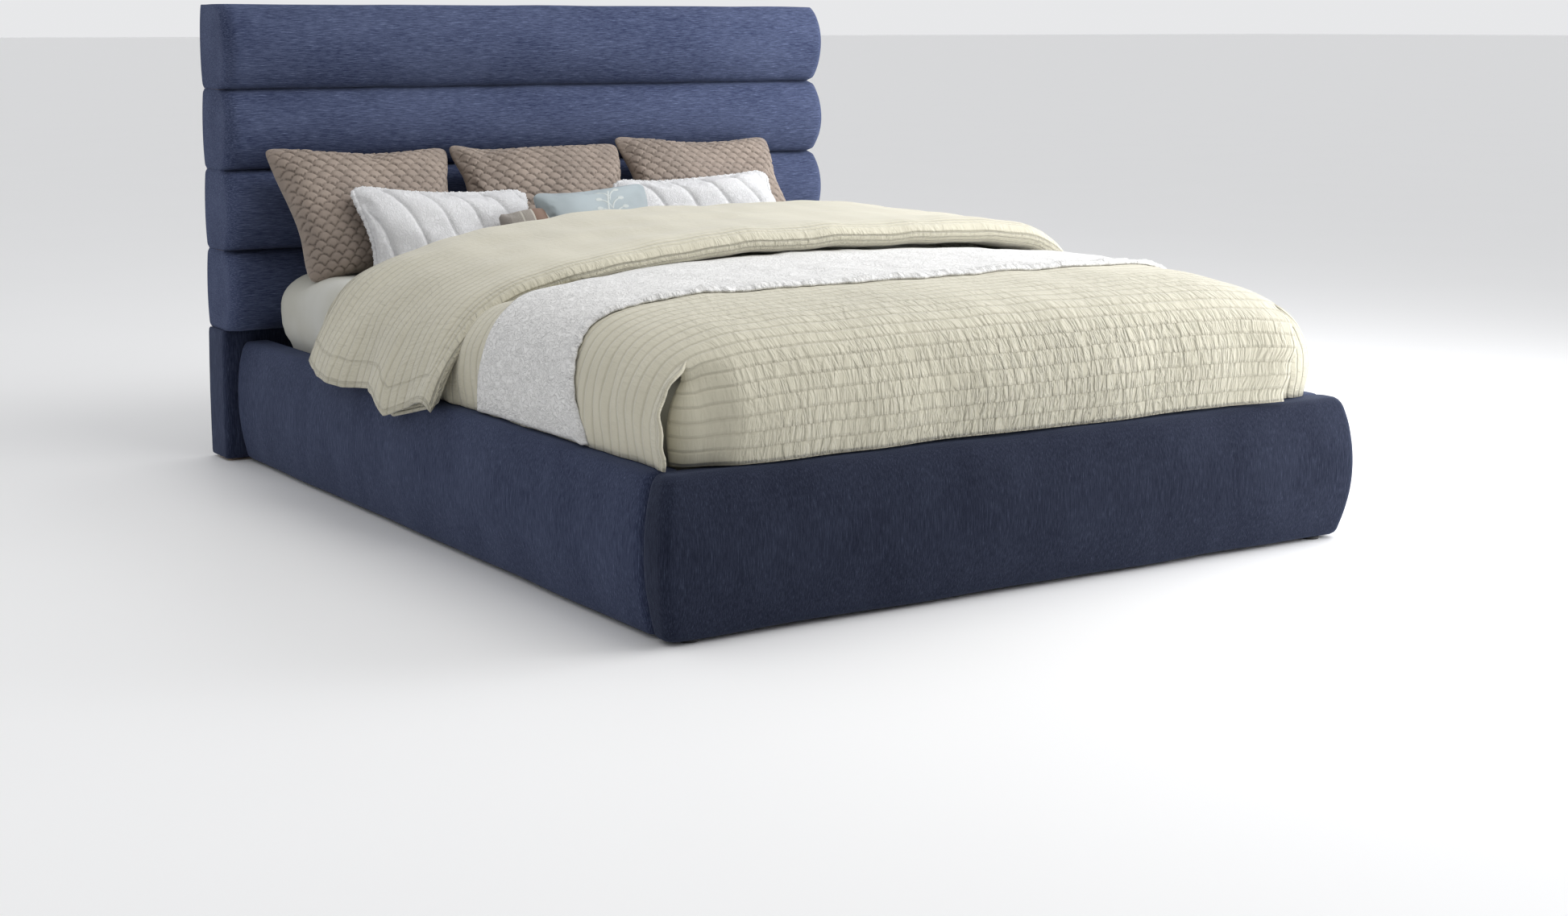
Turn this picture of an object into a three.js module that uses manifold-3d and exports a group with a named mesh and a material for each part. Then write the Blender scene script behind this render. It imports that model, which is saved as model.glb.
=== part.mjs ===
// Upholstered bed with a channelled headboard, a slatted base, a mattress and its bedding.
// Millimetres. +Z up, +Y towards the headboard, origin on the floor under the middle of the bed.
import * as THREE from "three";
import { mergeVertices } from "three/addons/utils/BufferGeometryUtils.js";
import Module from "manifold-3d";

const wasm = await Module();
wasm.setup();

// Mattress and the space it lies in
const MATTRESS_WIDTH = 1524;
const MATTRESS_LENGTH = 1972;
const MATTRESS_HEIGHT = 290;
const MATTRESS_EDGE_RADIUS = 45;
const CORNER_EXTRA = 10;
const MATTRESS_SIDE_GAP = 6;
const MATTRESS_FOOT_GAP = 6;
const MATTRESS_HEAD_GAP = 3;

// Side rails and footboard: a board inside a padded, bulging cover
const RAIL_TOP = 303;
const RAIL_THICKNESS = 60;
const RAIL_BULGE = 21;
const RAIL_EDGE_RADIUS = 14;
const RAIL_BOARD_THICKNESS = 25;
const RAIL_BOARD_LOW = 36;
const RAIL_BOARD_TOP_MARGIN = 33;
const RAIL_END_GAP = 2;
const GROUND_CLEARANCE = 6;

// Headboard, its depths counted from the back face
const HEADBOARD_OVERHANG = 45;
const HEADBOARD_HEIGHT = 1135;
const CHANNEL_COUNT = 4;
const CHANNEL_ABOVE_RAIL = 27;
const CHANNEL_TOP_WRAP = 8;
const CHANNEL_SEAM_DEPTH = 138;
const CHANNEL_CROWN = 52;
const LOWER_PAD_DEPTH = 107;
const WRAP_THICKNESS = 10;
const BACK_COVER_THICKNESS = 4;
const POST_WIDTH = 70;
const POST_DEPTH = 86;
const FRONT_BOARD_THICKNESS = 10;
const CROSS_RAIL_HEIGHT = 90;
const BOTTOM_CROSS_RAIL_LOW = 60;

// Slatted base
const SLAT_TOP = 195;
const SLAT_COUNT = 10;
const SLAT_WIDTH = 90;
const SLAT_THICKNESS = 18;
const SLAT_EDGE_RADIUS = 4;
const SLAT_END_MARGIN = 60;
const SLAT_SIDE_CLEARANCE = 3;
const CLEAT_WIDTH = 25;
const CLEAT_HEIGHT = 30;
const CLEAT_END_MARGIN = 10;
const BEAM_WIDTH = 40;
const BEAM_HEIGHT = 60;
const LEG_COUNT = 2;
const LEG_RADIUS = 22;
const LEG_FOOT_GAP = 14;
const FOOT_RADIUS = 24;
const FOOT_HEIGHT = 14;
const FOOT_RIM_HEIGHT = 8.4;
const STEM_RADIUS = 5;
const STEM_LENGTH = 40;
const STEM_CLEARANCE = 0.5;
const STEM_HEADROOM = 6;

// Corner brackets, beam hangers, bolts and glides
const PLATE = 4;
const BRACKET_LEG = 60;
const BRACKET_LOW = 45;
const BRACKET_BELOW_CLEAT = 12;
const BOLT_ALONG_LEG = 0.6;
const BOLT_RADIUS = 4;
const BOLT_HEAD_RADIUS = 9;
const BOLT_HEAD_HEIGHT = 5;
const BOLT_LENGTH = 14;
const HANGER_LENGTH = 50;
const HANGER_SIDE_HEIGHT = 40;
const HANGER_EAR = 30;
const GLIDE_RADIUS = 18;

// Bedding
const QUILT_TOP_LOFT = 72;
const QUILT_SIDE_LOFT = 50;
const QUILT_EDGE_RADIUS = 70;
const QUILT_HEM_LIFT = 3;
const QUILT_TO_PILLOWS = 32;
const TURN_DOWN_LENGTH = 670;
const TURN_DOWN_LOFT = 75;
const TURN_DOWN_OVERHANG = 20;
const TURN_DOWN_THICKNESS = 10;
const RUNNER_WIDTH = 515;
const RUNNER_THICKNESS = 5;
const RUNNER_GAP = 5;
const PILLOW_LEAN = 60;
const PILLOW_GAP = 6;
const PILLOW_BACK_CLEARANCE = 12;
const SHAM = { width: 478, height: 335, thickness: 100 };
const WHITE = { width: 480, height: 238, thickness: 84 };
const GREY = { width: 330, height: 232, thickness: 60 };
const STRIPED = { width: 150, height: 190, thickness: 56 };
const SHAM_SIDE_GAP = 7;
const SHAM_ROW_SHIFT = -65;
const WHITE_LEFT_X = -420;
const WHITE_RIGHT_X = 310;
const STRIPED_SIDE_GAP = 22;
const PILLOW_SIDE_PULL = 0.05;
const PILLOW_FULLNESS = 0.4;

// Fits, and how finely curves are divided
const CLEARANCE = 0.3;
const ROUND_STEPS = 20;
const RAIL_STEPS = 10;
const CHANNEL_STEPS = 14;
const SLAT_STEPS = 3;
const TURN_DOWN_STEPS = 8;
const BLOCK_EDGE_STEPS = 5;
const BLOCK_CORNER_STEPS = 6;
const PILLOW_STEPS = 10;

// Places that follow from the sizes above
const innerHalf = MATTRESS_WIDTH / 2 + MATTRESS_SIDE_GAP;
const headboardHalf = innerHalf + RAIL_THICKNESS + HEADBOARD_OVERHANG;
const channelBase = RAIL_TOP + CHANNEL_ABOVE_RAIL;
const channelDepth = CHANNEL_SEAM_DEPTH + CHANNEL_CROWN;
const innerLength = MATTRESS_HEAD_GAP + MATTRESS_LENGTH + MATTRESS_FOOT_GAP;
const bedLength = channelDepth + innerLength + RAIL_THICKNESS + RAIL_BULGE;
const backY = bedLength / 2;
const crownY = backY - channelDepth;
const footInnerY = crownY - innerLength;
const headFaceY = backY - LOWER_PAD_DEPTH;
const mattressHeadY = crownY - MATTRESS_HEAD_GAP;
const mattressFootY = footInnerY + MATTRESS_FOOT_GAP;
const mattressLow = SLAT_TOP + CLEARANCE;
const mattressTop = mattressLow + MATTRESS_HEIGHT;
const supportTop = SLAT_TOP - SLAT_THICKNESS - CLEARANCE;
const railBoardHigh = RAIL_TOP - RAIL_BOARD_TOP_MARGIN;
const railLow = footInnerY + RAIL_END_GAP;
const railHigh = headFaceY - RAIL_END_GAP;
const railLength = railHigh - railLow;
const railMiddle = (railHigh + railLow) / 2;
const beamLow = supportTop - BEAM_HEIGHT;
const bracketHeight = supportTop - CLEAT_HEIGHT - BRACKET_BELOW_CLEAT - BRACKET_LOW;
const boltZ = BRACKET_LOW + bracketHeight / 2;
const boltX = innerHalf - BRACKET_LEG * BOLT_ALONG_LEG;

// Pillows lean back in rows: shams, then the white ones, then the small ones
const lean = THREE.MathUtils.degToRad(PILLOW_LEAN);
const shamTopY = crownY - PILLOW_BACK_CLEARANCE - SHAM.thickness / 4;
const shamBaseY = shamTopY - SHAM.height * Math.cos(lean);
const whiteForward = (SHAM.thickness + WHITE.thickness) / 2 + PILLOW_GAP;
const greyForward = whiteForward + (WHITE.thickness + GREY.thickness) / 2 + PILLOW_GAP;
const stripedForward = whiteForward + (WHITE.thickness + STRIPED.thickness) / 2 + PILLOW_GAP;
const pillowFrontY = shamBaseY - greyForward / Math.sin(lean) - (GREY.thickness / 2) * Math.sin(lean);
const quiltHeadY = pillowFrontY - QUILT_TO_PILLOWS;
const turnDownFootY = quiltHeadY - TURN_DOWN_LENGTH;
const runnerHeadY = turnDownFootY - RUNNER_GAP;

// Larger than the bed, for boxes that cut all the way through it
const far = 2 * bedLength;

const COLOURS = {
  navy: [0x3a4361, 0.95, 0],
  lining: [0x20242e, 0.9, 0],
  pine: [0xc9a676, 0.65, 0],
  plywood: [0xb99a6b, 0.7, 0],
  steel: [0x2b2c2e, 0.45, 0.6],
  zinc: [0xa7abad, 0.4, 0.9],
  plastic: [0x1d1d1f, 0.6, 0],
  sheet: [0xc6c6c0, 0.9, 0],
  quilt: [0xc9c3a8, 0.9, 0],
  runner: [0xd9d9da, 0.9, 0],
  sham: [0x8c7f76, 0.9, 0],
  white: [0xe4e4e6, 0.9, 0],
  grey: [0x9aa6a8, 0.9, 0],
  striped: [0x8d7a6a, 0.9, 0],
};

// --- helpers ---------------------------------------------------------------

function part(name, geometry, colour) {
  const [color, roughness, metalness] = COLOURS[colour];
  const material = new THREE.MeshStandardMaterial({ color, roughness, metalness });
  const mesh = new THREE.Mesh(geometry, material);
  mesh.name = name;
  return mesh;
}

function at(object, x, y, z) {
  object.position.set(x, y, z);
  return object;
}

function box(low, high) {
  const size = high.map((value, i) => value - low[i]);
  const geometry = new THREE.BoxGeometry(...size);
  return geometry.translate(...low.map((value, i) => value + size[i] / 2));
}

// A shape drawn in (x, z), extruded along Y between two places.
function alongY(shape, low, high, steps = ROUND_STEPS) {
  const options = { depth: high - low, bevelEnabled: false, curveSegments: steps };
  const geometry = new THREE.ExtrudeGeometry(shape, options);
  return geometry.rotateX(Math.PI / 2).translate(0, high, 0);
}

// A shape drawn in (y, z), extruded along X between two places.
function alongX(shape, low, high, steps = ROUND_STEPS) {
  const options = { depth: high - low, bevelEnabled: false, curveSegments: steps };
  const geometry = new THREE.ExtrudeGeometry(shape, options);
  const turn = new THREE.Matrix4().makeBasis(
    new THREE.Vector3(0, 1, 0),
    new THREE.Vector3(0, 0, 1),
    new THREE.Vector3(1, 0, 0),
  );
  return geometry.applyMatrix4(turn).translate(low, 0, 0);
}

function cylinder(radius, low, high, steps = ROUND_STEPS) {
  const geometry = new THREE.CylinderGeometry(radius, radius, high - low, steps);
  return geometry.rotateX(Math.PI / 2).translate(0, 0, (low + high) / 2);
}

// Spins points given as (radius, height) round Z. They start and end on the axis.
function turned(points, steps = ROUND_STEPS) {
  const profile = points.map(([radius, height]) => new THREE.Vector2(radius, height));
  return new THREE.LatheGeometry(profile, steps).rotateX(Math.PI / 2);
}

function solid(geometry) {
  const bare = geometry.clone();
  bare.deleteAttribute("normal");
  bare.deleteAttribute("uv");
  const merged = mergeVertices(bare, 1e-3);
  const vertProperties = merged.attributes.position.array;
  const triVerts = new Uint32Array(merged.index.array);
  return new wasm.Manifold(new wasm.Mesh({ numProp: 3, vertProperties, triVerts }));
}

function surface(manifold) {
  const { vertProperties, triVerts } = manifold.getMesh();
  const geometry = new THREE.BufferGeometry();
  geometry.setAttribute("position", new THREE.BufferAttribute(vertProperties, 3));
  geometry.setIndex(new THREE.BufferAttribute(triVerts, 1));
  geometry.computeVertexNormals();
  return geometry;
}

function cut(geometry, ...tools) {
  return surface(tools.reduce((left, tool) => left.subtract(solid(tool)), solid(geometry)));
}

function joined(...geometries) {
  return surface(geometries.map(solid).reduce((sum, next) => sum.add(next)));
}

function common(a, b) {
  return surface(solid(a).intersect(solid(b)));
}

function roundedRectangle(halfX, halfY, radius) {
  const shape = new THREE.Shape();
  shape.moveTo(-halfX + radius, -halfY);
  shape.lineTo(halfX - radius, -halfY);
  shape.absarc(halfX - radius, -halfY + radius, radius, -Math.PI / 2, 0);
  shape.lineTo(halfX, halfY - radius);
  shape.absarc(halfX - radius, halfY - radius, radius, 0, Math.PI / 2);
  shape.lineTo(-halfX + radius, halfY);
  shape.absarc(-halfX + radius, halfY - radius, radius, Math.PI / 2, Math.PI);
  shape.lineTo(-halfX, -halfY + radius);
  shape.absarc(-halfX + radius, -halfY + radius, radius, Math.PI, Math.PI * 1.5);
  return shape;
}

// A soft block with rounded corners and edges, from low to high in Z.
function softBlock(halfX, halfY, low, high, corner, edge) {
  const geometry = new THREE.ExtrudeGeometry(roundedRectangle(halfX, halfY, corner), {
    depth: high - low - 2 * edge,
    bevelThickness: edge,
    bevelSize: edge,
    bevelOffset: -edge,
    bevelSegments: BLOCK_EDGE_STEPS,
    curveSegments: BLOCK_CORNER_STEPS,
  });
  return geometry.translate(0, 0, low + edge);
}

// --- side rails and footboard ----------------------------------------------

// Section of a padded rail, x outwards from the inner face: a bulging cover open behind for its board.
function railSection() {
  const pocket = RAIL_BOARD_THICKNESS + CLEARANCE;
  const edge = RAIL_THICKNESS - RAIL_EDGE_RADIUS;
  const middle = (RAIL_TOP + GROUND_CLEARANCE) / 2;
  const shape = new THREE.Shape();
  shape.moveTo(0, GROUND_CLEARANCE);
  shape.lineTo(edge, GROUND_CLEARANCE);
  shape.quadraticCurveTo(
    RAIL_THICKNESS,
    GROUND_CLEARANCE,
    RAIL_THICKNESS,
    GROUND_CLEARANCE + RAIL_EDGE_RADIUS,
  );
  shape.quadraticCurveTo(
    RAIL_THICKNESS + 2 * RAIL_BULGE,
    middle,
    RAIL_THICKNESS,
    RAIL_TOP - RAIL_EDGE_RADIUS,
  );
  shape.quadraticCurveTo(RAIL_THICKNESS, RAIL_TOP, edge, RAIL_TOP);
  shape.lineTo(0, RAIL_TOP);
  shape.lineTo(0, railBoardHigh + CLEARANCE);
  shape.lineTo(pocket, railBoardHigh + CLEARANCE);
  shape.lineTo(pocket, RAIL_BOARD_LOW - CLEARANCE);
  shape.lineTo(0, RAIL_BOARD_LOW - CLEARANCE);
  shape.closePath();
  return shape;
}

// The outer face of a padded rail's section, from the bottom up.
function railFace() {
  const clearOfPocket = RAIL_BOARD_THICKNESS + 2 * CLEARANCE;
  return railSection()
    .getPoints(RAIL_STEPS)
    .filter((point) => point.x > clearOfPocket);
}

// One side rail in its own frame: x outwards from the inner face, y along the bed.
function sideRail(side) {
  const name = side < 0 ? "left" : "right";
  const half = railLength / 2;
  const cleatHalf = half - CLEAT_END_MARGIN;
  const group = new THREE.Group();
  const board = box([0, -half, RAIL_BOARD_LOW], [RAIL_BOARD_THICKNESS, half, railBoardHigh]);
  const cleat = box(
    [-CLEAT_WIDTH - CLEARANCE, -cleatHalf, supportTop - CLEAT_HEIGHT],
    [-CLEARANCE, cleatHalf, supportTop],
  );
  group.add(part("side_rail_board_" + name, board, "pine"));
  group.add(part("side_rail_pad_" + name, alongY(railSection(), -half, half, RAIL_STEPS), "navy"));
  group.add(part("side_rail_cleat_" + name, cleat, "pine"));
  group.rotation.z = side < 0 ? Math.PI : 0;
  return at(group, side * innerHalf, railMiddle, 0);
}

// The footboard pad bulges at the front and at both ends, so its corners are mitres.
function footboardPad() {
  const face = railFace();
  const deep = RAIL_THICKNESS + 2 * RAIL_BULGE;
  const reach = innerHalf + deep;
  const backEdge = [new THREE.Vector2(0, RAIL_TOP), new THREE.Vector2(0, GROUND_CLEARANCE)];
  const right = face.map(({ x, y }) => new THREE.Vector2(innerHalf + x, y));
  const left = face.map(({ x, y }) => new THREE.Vector2(-innerHalf - x, y)).reverse();
  const across = alongY(new THREE.Shape([...face, ...backEdge]), -reach, reach);
  const ends = alongX(new THREE.Shape([...right, ...left]), -RAIL_THICKNESS, deep);
  const room = footboardBoardBox(CLEARANCE);
  return cut(common(across, ends), room);
}

function footboardBoardBox(grow) {
  const half = innerHalf + RAIL_BOARD_THICKNESS + grow;
  return box(
    [-grow, -half, RAIL_BOARD_LOW - grow],
    [RAIL_BOARD_THICKNESS + grow, half, railBoardHigh + grow],
  );
}

function footboard() {
  const bores = [-1, 1].map((side) =>
    bore(BOLT_LENGTH)
      .rotateZ(Math.PI / 2)
      .translate(0, side * boltX, 0),
  );
  const group = new THREE.Group();
  group.add(part("footboard_board", cut(footboardBoardBox(0), ...bores), "pine"));
  group.add(part("footboard_pad", footboardPad(), "navy"));
  group.rotation.z = -Math.PI / 2;
  return at(group, 0, footInnerY, 0);
}

// --- corner brackets and bolts ---------------------------------------------

// A tool that bores along y for a corner bolt, this far to each side of y = 0.
function bore(reach) {
  const radius = BOLT_RADIUS + CLEARANCE;
  const depth = 2 * (reach + PLATE);
  return new THREE.CylinderGeometry(radius, radius, depth, ROUND_STEPS).translate(0, 0, boltZ);
}

// Angle plate for the corner at +x: one leg on the side rail, one on the end board at y = 0.
function bracket() {
  const outer = innerHalf - CLEARANCE;
  const plan = new THREE.Shape();
  plan.moveTo(outer, CLEARANCE);
  plan.lineTo(outer, BRACKET_LEG);
  plan.lineTo(outer - PLATE, BRACKET_LEG);
  plan.lineTo(outer - PLATE, CLEARANCE + PLATE);
  plan.lineTo(outer - BRACKET_LEG, CLEARANCE + PLATE);
  plan.lineTo(outer - BRACKET_LEG, CLEARANCE);
  plan.closePath();
  const plate = new THREE.ExtrudeGeometry(plan, { depth: bracketHeight, bevelEnabled: false });
  return cut(plate.translate(0, 0, BRACKET_LOW), bore(PLATE).translate(boltX, 0, 0));
}

// Cap-head bolt through the bracket into the end board, pointing to -y.
function bolt() {
  const seat = PLATE + 2 * CLEARANCE;
  const profile = [
    [0, -BOLT_LENGTH],
    [BOLT_RADIUS, -BOLT_LENGTH],
    [BOLT_RADIUS, seat],
    [BOLT_HEAD_RADIUS, seat],
    [BOLT_HEAD_RADIUS, seat + BOLT_HEAD_HEIGHT],
    [0, seat + BOLT_HEAD_HEIGHT],
  ];
  const points = profile.map(([radius, height]) => new THREE.Vector2(radius, height));
  return new THREE.LatheGeometry(points, ROUND_STEPS).translate(boltX, 0, boltZ);
}

// Brackets and bolts of one end board. The group's y points away from the board.
function cornerFittings(end) {
  const isHead = end === "head";
  const group = new THREE.Group();
  for (const side of [-1, 1]) {
    const name = end + (side < 0 ? "_left" : "_right");
    const plate = part("bracket_" + name, bracket(), "steel");
    const screw = part("corner_bolt_" + name, bolt(), "zinc");
    plate.scale.x = isHead ? -side : side;
    screw.scale.x = plate.scale.x;
    group.add(plate, screw);
  }
  group.rotation.z = isHead ? Math.PI : 0;
  return at(group, 0, isHead ? headFaceY : footInnerY, 0);
}

// --- headboard -------------------------------------------------------------

const frameHalf = headboardHalf - WRAP_THICKNESS;
const frameTop = HEADBOARD_HEIGHT - WRAP_THICKNESS;
const postFront = BACK_COVER_THICKNESS + CLEARANCE + POST_DEPTH;
const boardFront = postFront + CLEARANCE + FRONT_BOARD_THICKNESS;

// The room inside the padding for the wooden frame, in depths from the back.
function frameRoom() {
  return box(
    [-frameHalf, -boardFront - CLEARANCE, 0],
    [frameHalf, WRAP_THICKNESS, frameTop],
  );
}

function channelSection(low, high) {
  const middle = (low + high) / 2;
  const shape = new THREE.Shape();
  shape.moveTo(0, low);
  shape.lineTo(0, high);
  shape.lineTo(-CHANNEL_SEAM_DEPTH, high);
  shape.absellipse(
    -CHANNEL_SEAM_DEPTH,
    middle,
    CHANNEL_CROWN,
    (high - low) / 2,
    Math.PI / 2,
    Math.PI * 1.5,
  );
  shape.closePath();
  return shape;
}

function headboardChannels() {
  const pitch = (HEADBOARD_HEIGHT - CHANNEL_TOP_WRAP - channelBase) / CHANNEL_COUNT;
  const group = new THREE.Group();
  for (let i = 0; i < CHANNEL_COUNT; i++) {
    const isTop = i === CHANNEL_COUNT - 1;
    const low = channelBase + i * pitch + CLEARANCE;
    const high = channelBase + (i + 1) * pitch + (isTop ? CHANNEL_TOP_WRAP : 0);
    const roll = alongX(channelSection(low, high), -headboardHalf, headboardHalf, CHANNEL_STEPS);
    const name = "headboard_channel_" + (CHANNEL_COUNT - i);
    group.add(part(name, cut(roll, frameRoom()), "navy"));
  }
  return group;
}

function headboard() {
  const low = GROUND_CLEARANCE;
  const postInner = frameHalf - CLEARANCE - POST_WIDTH;
  const crossHalf = postInner - CLEARANCE;
  const crossLows = {
    bottom: BOTTOM_CROSS_RAIL_LOW,
    middle: (BOTTOM_CROSS_RAIL_LOW + frameTop - CROSS_RAIL_HEIGHT) / 2,
    top: frameTop - CLEARANCE - CROSS_RAIL_HEIGHT,
  };
  const group = new THREE.Group();
  for (const side of [-1, 1]) {
    const post = box(
      [-POST_WIDTH / 2, -postFront, low],
      [POST_WIDTH / 2, -BACK_COVER_THICKNESS - CLEARANCE, frameTop - CLEARANCE],
    );
    const name = "headboard_post_" + (side < 0 ? "left" : "right");
    group.add(at(part(name, post, "pine"), side * (postInner + POST_WIDTH / 2), 0, 0));
  }
  for (const [place, crossLow] of Object.entries(crossLows)) {
    const rail = box(
      [-crossHalf, -postFront, 0],
      [crossHalf, -BACK_COVER_THICKNESS - CLEARANCE, CROSS_RAIL_HEIGHT],
    );
    group.add(at(part("headboard_" + place + "_rail", rail, "pine"), 0, 0, crossLow));
  }
  const board = box(
    [-frameHalf + CLEARANCE, -boardFront, low],
    [frameHalf - CLEARANCE, -postFront - CLEARANCE, frameTop - CLEARANCE],
  );
  const cover = box(
    [-frameHalf + CLEARANCE, -BACK_COVER_THICKNESS, low],
    [frameHalf - CLEARANCE, 0, frameTop - CLEARANCE],
  );
  const pad = box([-headboardHalf, -LOWER_PAD_DEPTH, low], [headboardHalf, 0, channelBase]);
  const bores = [-1, 1].map((side) =>
    bore(BOLT_LENGTH).translate(side * boltX, -LOWER_PAD_DEPTH, 0),
  );
  group.add(part("headboard_front_board", cut(board, ...bores), "plywood"));
  group.add(part("headboard_back_cover", cover, "lining"));
  group.add(part("headboard_lower_pad", cut(pad, frameRoom(), ...bores), "navy"));
  group.add(headboardChannels());
  return at(group, 0, backY, 0);
}

// --- slatted base ----------------------------------------------------------

function slats() {
  const half = innerHalf - SLAT_SIDE_CLEARANCE;
  const first = railLow + SLAT_END_MARGIN + SLAT_WIDTH / 2;
  const last = mattressHeadY - SLAT_END_MARGIN;
  const outline = roundedRectangle(SLAT_WIDTH / 2, SLAT_THICKNESS / 2, SLAT_EDGE_RADIUS);
  const group = new THREE.Group();
  for (let i = 0; i < SLAT_COUNT; i++) {
    const y = first + ((last - first) * i) / (SLAT_COUNT - 1);
    const slat = part("slat_" + (i + 1), alongX(outline, -half, half, SLAT_STEPS), "pine");
    group.add(at(slat, 0, y, SLAT_TOP - SLAT_THICKNESS / 2));
  }
  return group;
}

// Open cup for one end of the beam, screwed to the board at y = 0, the beam along +y.
function hanger() {
  const inner = BEAM_WIDTH / 2 + CLEARANCE;
  const outer = inner + PLATE;
  const base = beamLow - CLEARANCE;
  const cup = new THREE.Shape();
  cup.moveTo(-outer, base - PLATE);
  cup.lineTo(outer, base - PLATE);
  cup.lineTo(outer, base + HANGER_SIDE_HEIGHT);
  cup.lineTo(inner, base + HANGER_SIDE_HEIGHT);
  cup.lineTo(inner, base);
  cup.lineTo(-inner, base);
  cup.lineTo(-inner, base + HANGER_SIDE_HEIGHT);
  cup.lineTo(-outer, base + HANGER_SIDE_HEIGHT);
  cup.closePath();
  const plate = box(
    [-outer - HANGER_EAR, CLEARANCE, base - PLATE],
    [outer + HANGER_EAR, CLEARANCE + PLATE, base + HANGER_SIDE_HEIGHT],
  );
  return joined(alongY(cup, CLEARANCE, HANGER_LENGTH), plate);
}

function centreSupport() {
  const group = new THREE.Group();
  const low = footInnerY + PLATE + 2 * CLEARANCE;
  const high = headFaceY - PLATE - 2 * CLEARANCE;
  const beam = box([-BEAM_WIDTH / 2, low, beamLow], [BEAM_WIDTH / 2, high, supportTop]);
  group.add(part("centre_beam", beam, "pine"));
  group.add(at(part("beam_hanger_foot", hanger(), "steel"), 0, footInnerY, 0));
  const head = at(part("beam_hanger_head", hanger(), "steel"), 0, headFaceY, 0);
  head.rotation.z = Math.PI;
  group.add(head);
  const legLow = FOOT_HEIGHT + LEG_FOOT_GAP;
  const legHigh = beamLow - CLEARANCE;
  const boreRadius = STEM_RADIUS + STEM_CLEARANCE;
  const boreTop = FOOT_HEIGHT + STEM_LENGTH + STEM_HEADROOM;
  for (let i = 0; i < LEG_COUNT; i++) {
    const y = low + ((high - low) * (i + 1)) / (LEG_COUNT + 1);
    const leg = turned([
      [0, boreTop],
      [boreRadius, boreTop],
      [boreRadius, legLow],
      [LEG_RADIUS, legLow],
      [LEG_RADIUS, legHigh],
      [0, legHigh],
    ]);
    const foot = turned([
      [0, 0],
      [FOOT_RADIUS, 0],
      [FOOT_RADIUS, FOOT_RIM_HEIGHT],
      [FOOT_RADIUS / 2, FOOT_HEIGHT],
      [STEM_RADIUS, FOOT_HEIGHT],
      [STEM_RADIUS, FOOT_HEIGHT + STEM_LENGTH],
      [0, FOOT_HEIGHT + STEM_LENGTH],
    ]);
    group.add(at(part("centre_leg_" + (i + 1), leg, "pine"), 0, y, 0));
    group.add(at(part("levelling_foot_" + (i + 1), foot, "plastic"), 0, y, 0));
  }
  return group;
}

function glides() {
  const group = new THREE.Group();
  const headX = frameHalf - CLEARANCE - POST_WIDTH / 2;
  const footX = innerHalf;
  const headY = backY - BACK_COVER_THICKNESS - POST_DEPTH / 2;
  const footY = footInnerY - RAIL_THICKNESS / 2;
  for (const [end, x, y] of [
    ["head", headX, headY],
    ["foot", footX, footY],
  ]) {
    for (const side of [-1, 1]) {
      const disc = cylinder(GLIDE_RADIUS, 0, GROUND_CLEARANCE - CLEARANCE);
      const name = "glide_" + end + "_" + (side < 0 ? "left" : "right");
      group.add(at(part(name, disc, "plastic"), side * x, y, 0));
    }
  }
  return group;
}

// --- mattress and bedding --------------------------------------------------

const coverTop = mattressTop + QUILT_TOP_LOFT;
const mattressMiddle = (mattressHeadY + mattressFootY) / 2;

// A soft block over the mattress, grown outwards on the sides and on top.
function coverBlock(sideGrowth, topGrowth, low, edge) {
  const block = softBlock(
    MATTRESS_WIDTH / 2 + sideGrowth,
    MATTRESS_LENGTH / 2 + sideGrowth,
    low,
    mattressTop + topGrowth,
    edge + CORNER_EXTRA,
    edge,
  );
  return block.translate(0, mattressMiddle, 0);
}

function mattress() {
  return part("mattress", coverBlock(0, 0, mattressLow, MATTRESS_EDGE_RADIUS), "sheet");
}

// The quilt's turned-down head end: an arch over the bed that hangs just past the rails.
function turnDown() {
  const railSide = innerHalf + RAIL_THICKNESS + RAIL_BULGE + CLEARANCE;
  const outer = railSide + TURN_DOWN_THICKNESS;
  const low = RAIL_TOP - TURN_DOWN_OVERHANG;
  const overRail = RAIL_TOP + QUILT_HEM_LIFT;
  const within = MATTRESS_WIDTH / 2 + QUILT_SIDE_LOFT / 2;
  const top = coverTop + TURN_DOWN_LOFT;
  const inside = coverTop - QUILT_TOP_LOFT / 2;
  const shoulder = outer - 2 * QUILT_EDGE_RADIUS;
  const shape = new THREE.Shape();
  shape.moveTo(-outer, low);
  shape.lineTo(-outer, overRail + TURN_DOWN_LOFT);
  shape.quadraticCurveTo(-outer, top - TURN_DOWN_LOFT / 2, -shoulder, top - TURN_DOWN_LOFT / 3);
  shape.quadraticCurveTo(-shoulder / 2, top, 0, top);
  shape.quadraticCurveTo(shoulder / 2, top, shoulder, top - TURN_DOWN_LOFT / 3);
  shape.quadraticCurveTo(outer, top - TURN_DOWN_LOFT / 2, outer, overRail + TURN_DOWN_LOFT);
  shape.lineTo(outer, low);
  shape.lineTo(railSide, low);
  shape.lineTo(railSide, overRail);
  shape.lineTo(within, overRail);
  shape.lineTo(within, inside - QUILT_EDGE_RADIUS);
  shape.lineTo(within - QUILT_EDGE_RADIUS, inside);
  shape.lineTo(-within + QUILT_EDGE_RADIUS, inside);
  shape.lineTo(-within, inside - QUILT_EDGE_RADIUS);
  shape.lineTo(-within, overRail);
  shape.lineTo(-railSide, overRail);
  shape.lineTo(-railSide, low);
  shape.closePath();
  return alongY(shape, turnDownFootY, quiltHeadY, TURN_DOWN_STEPS);
}

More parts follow.
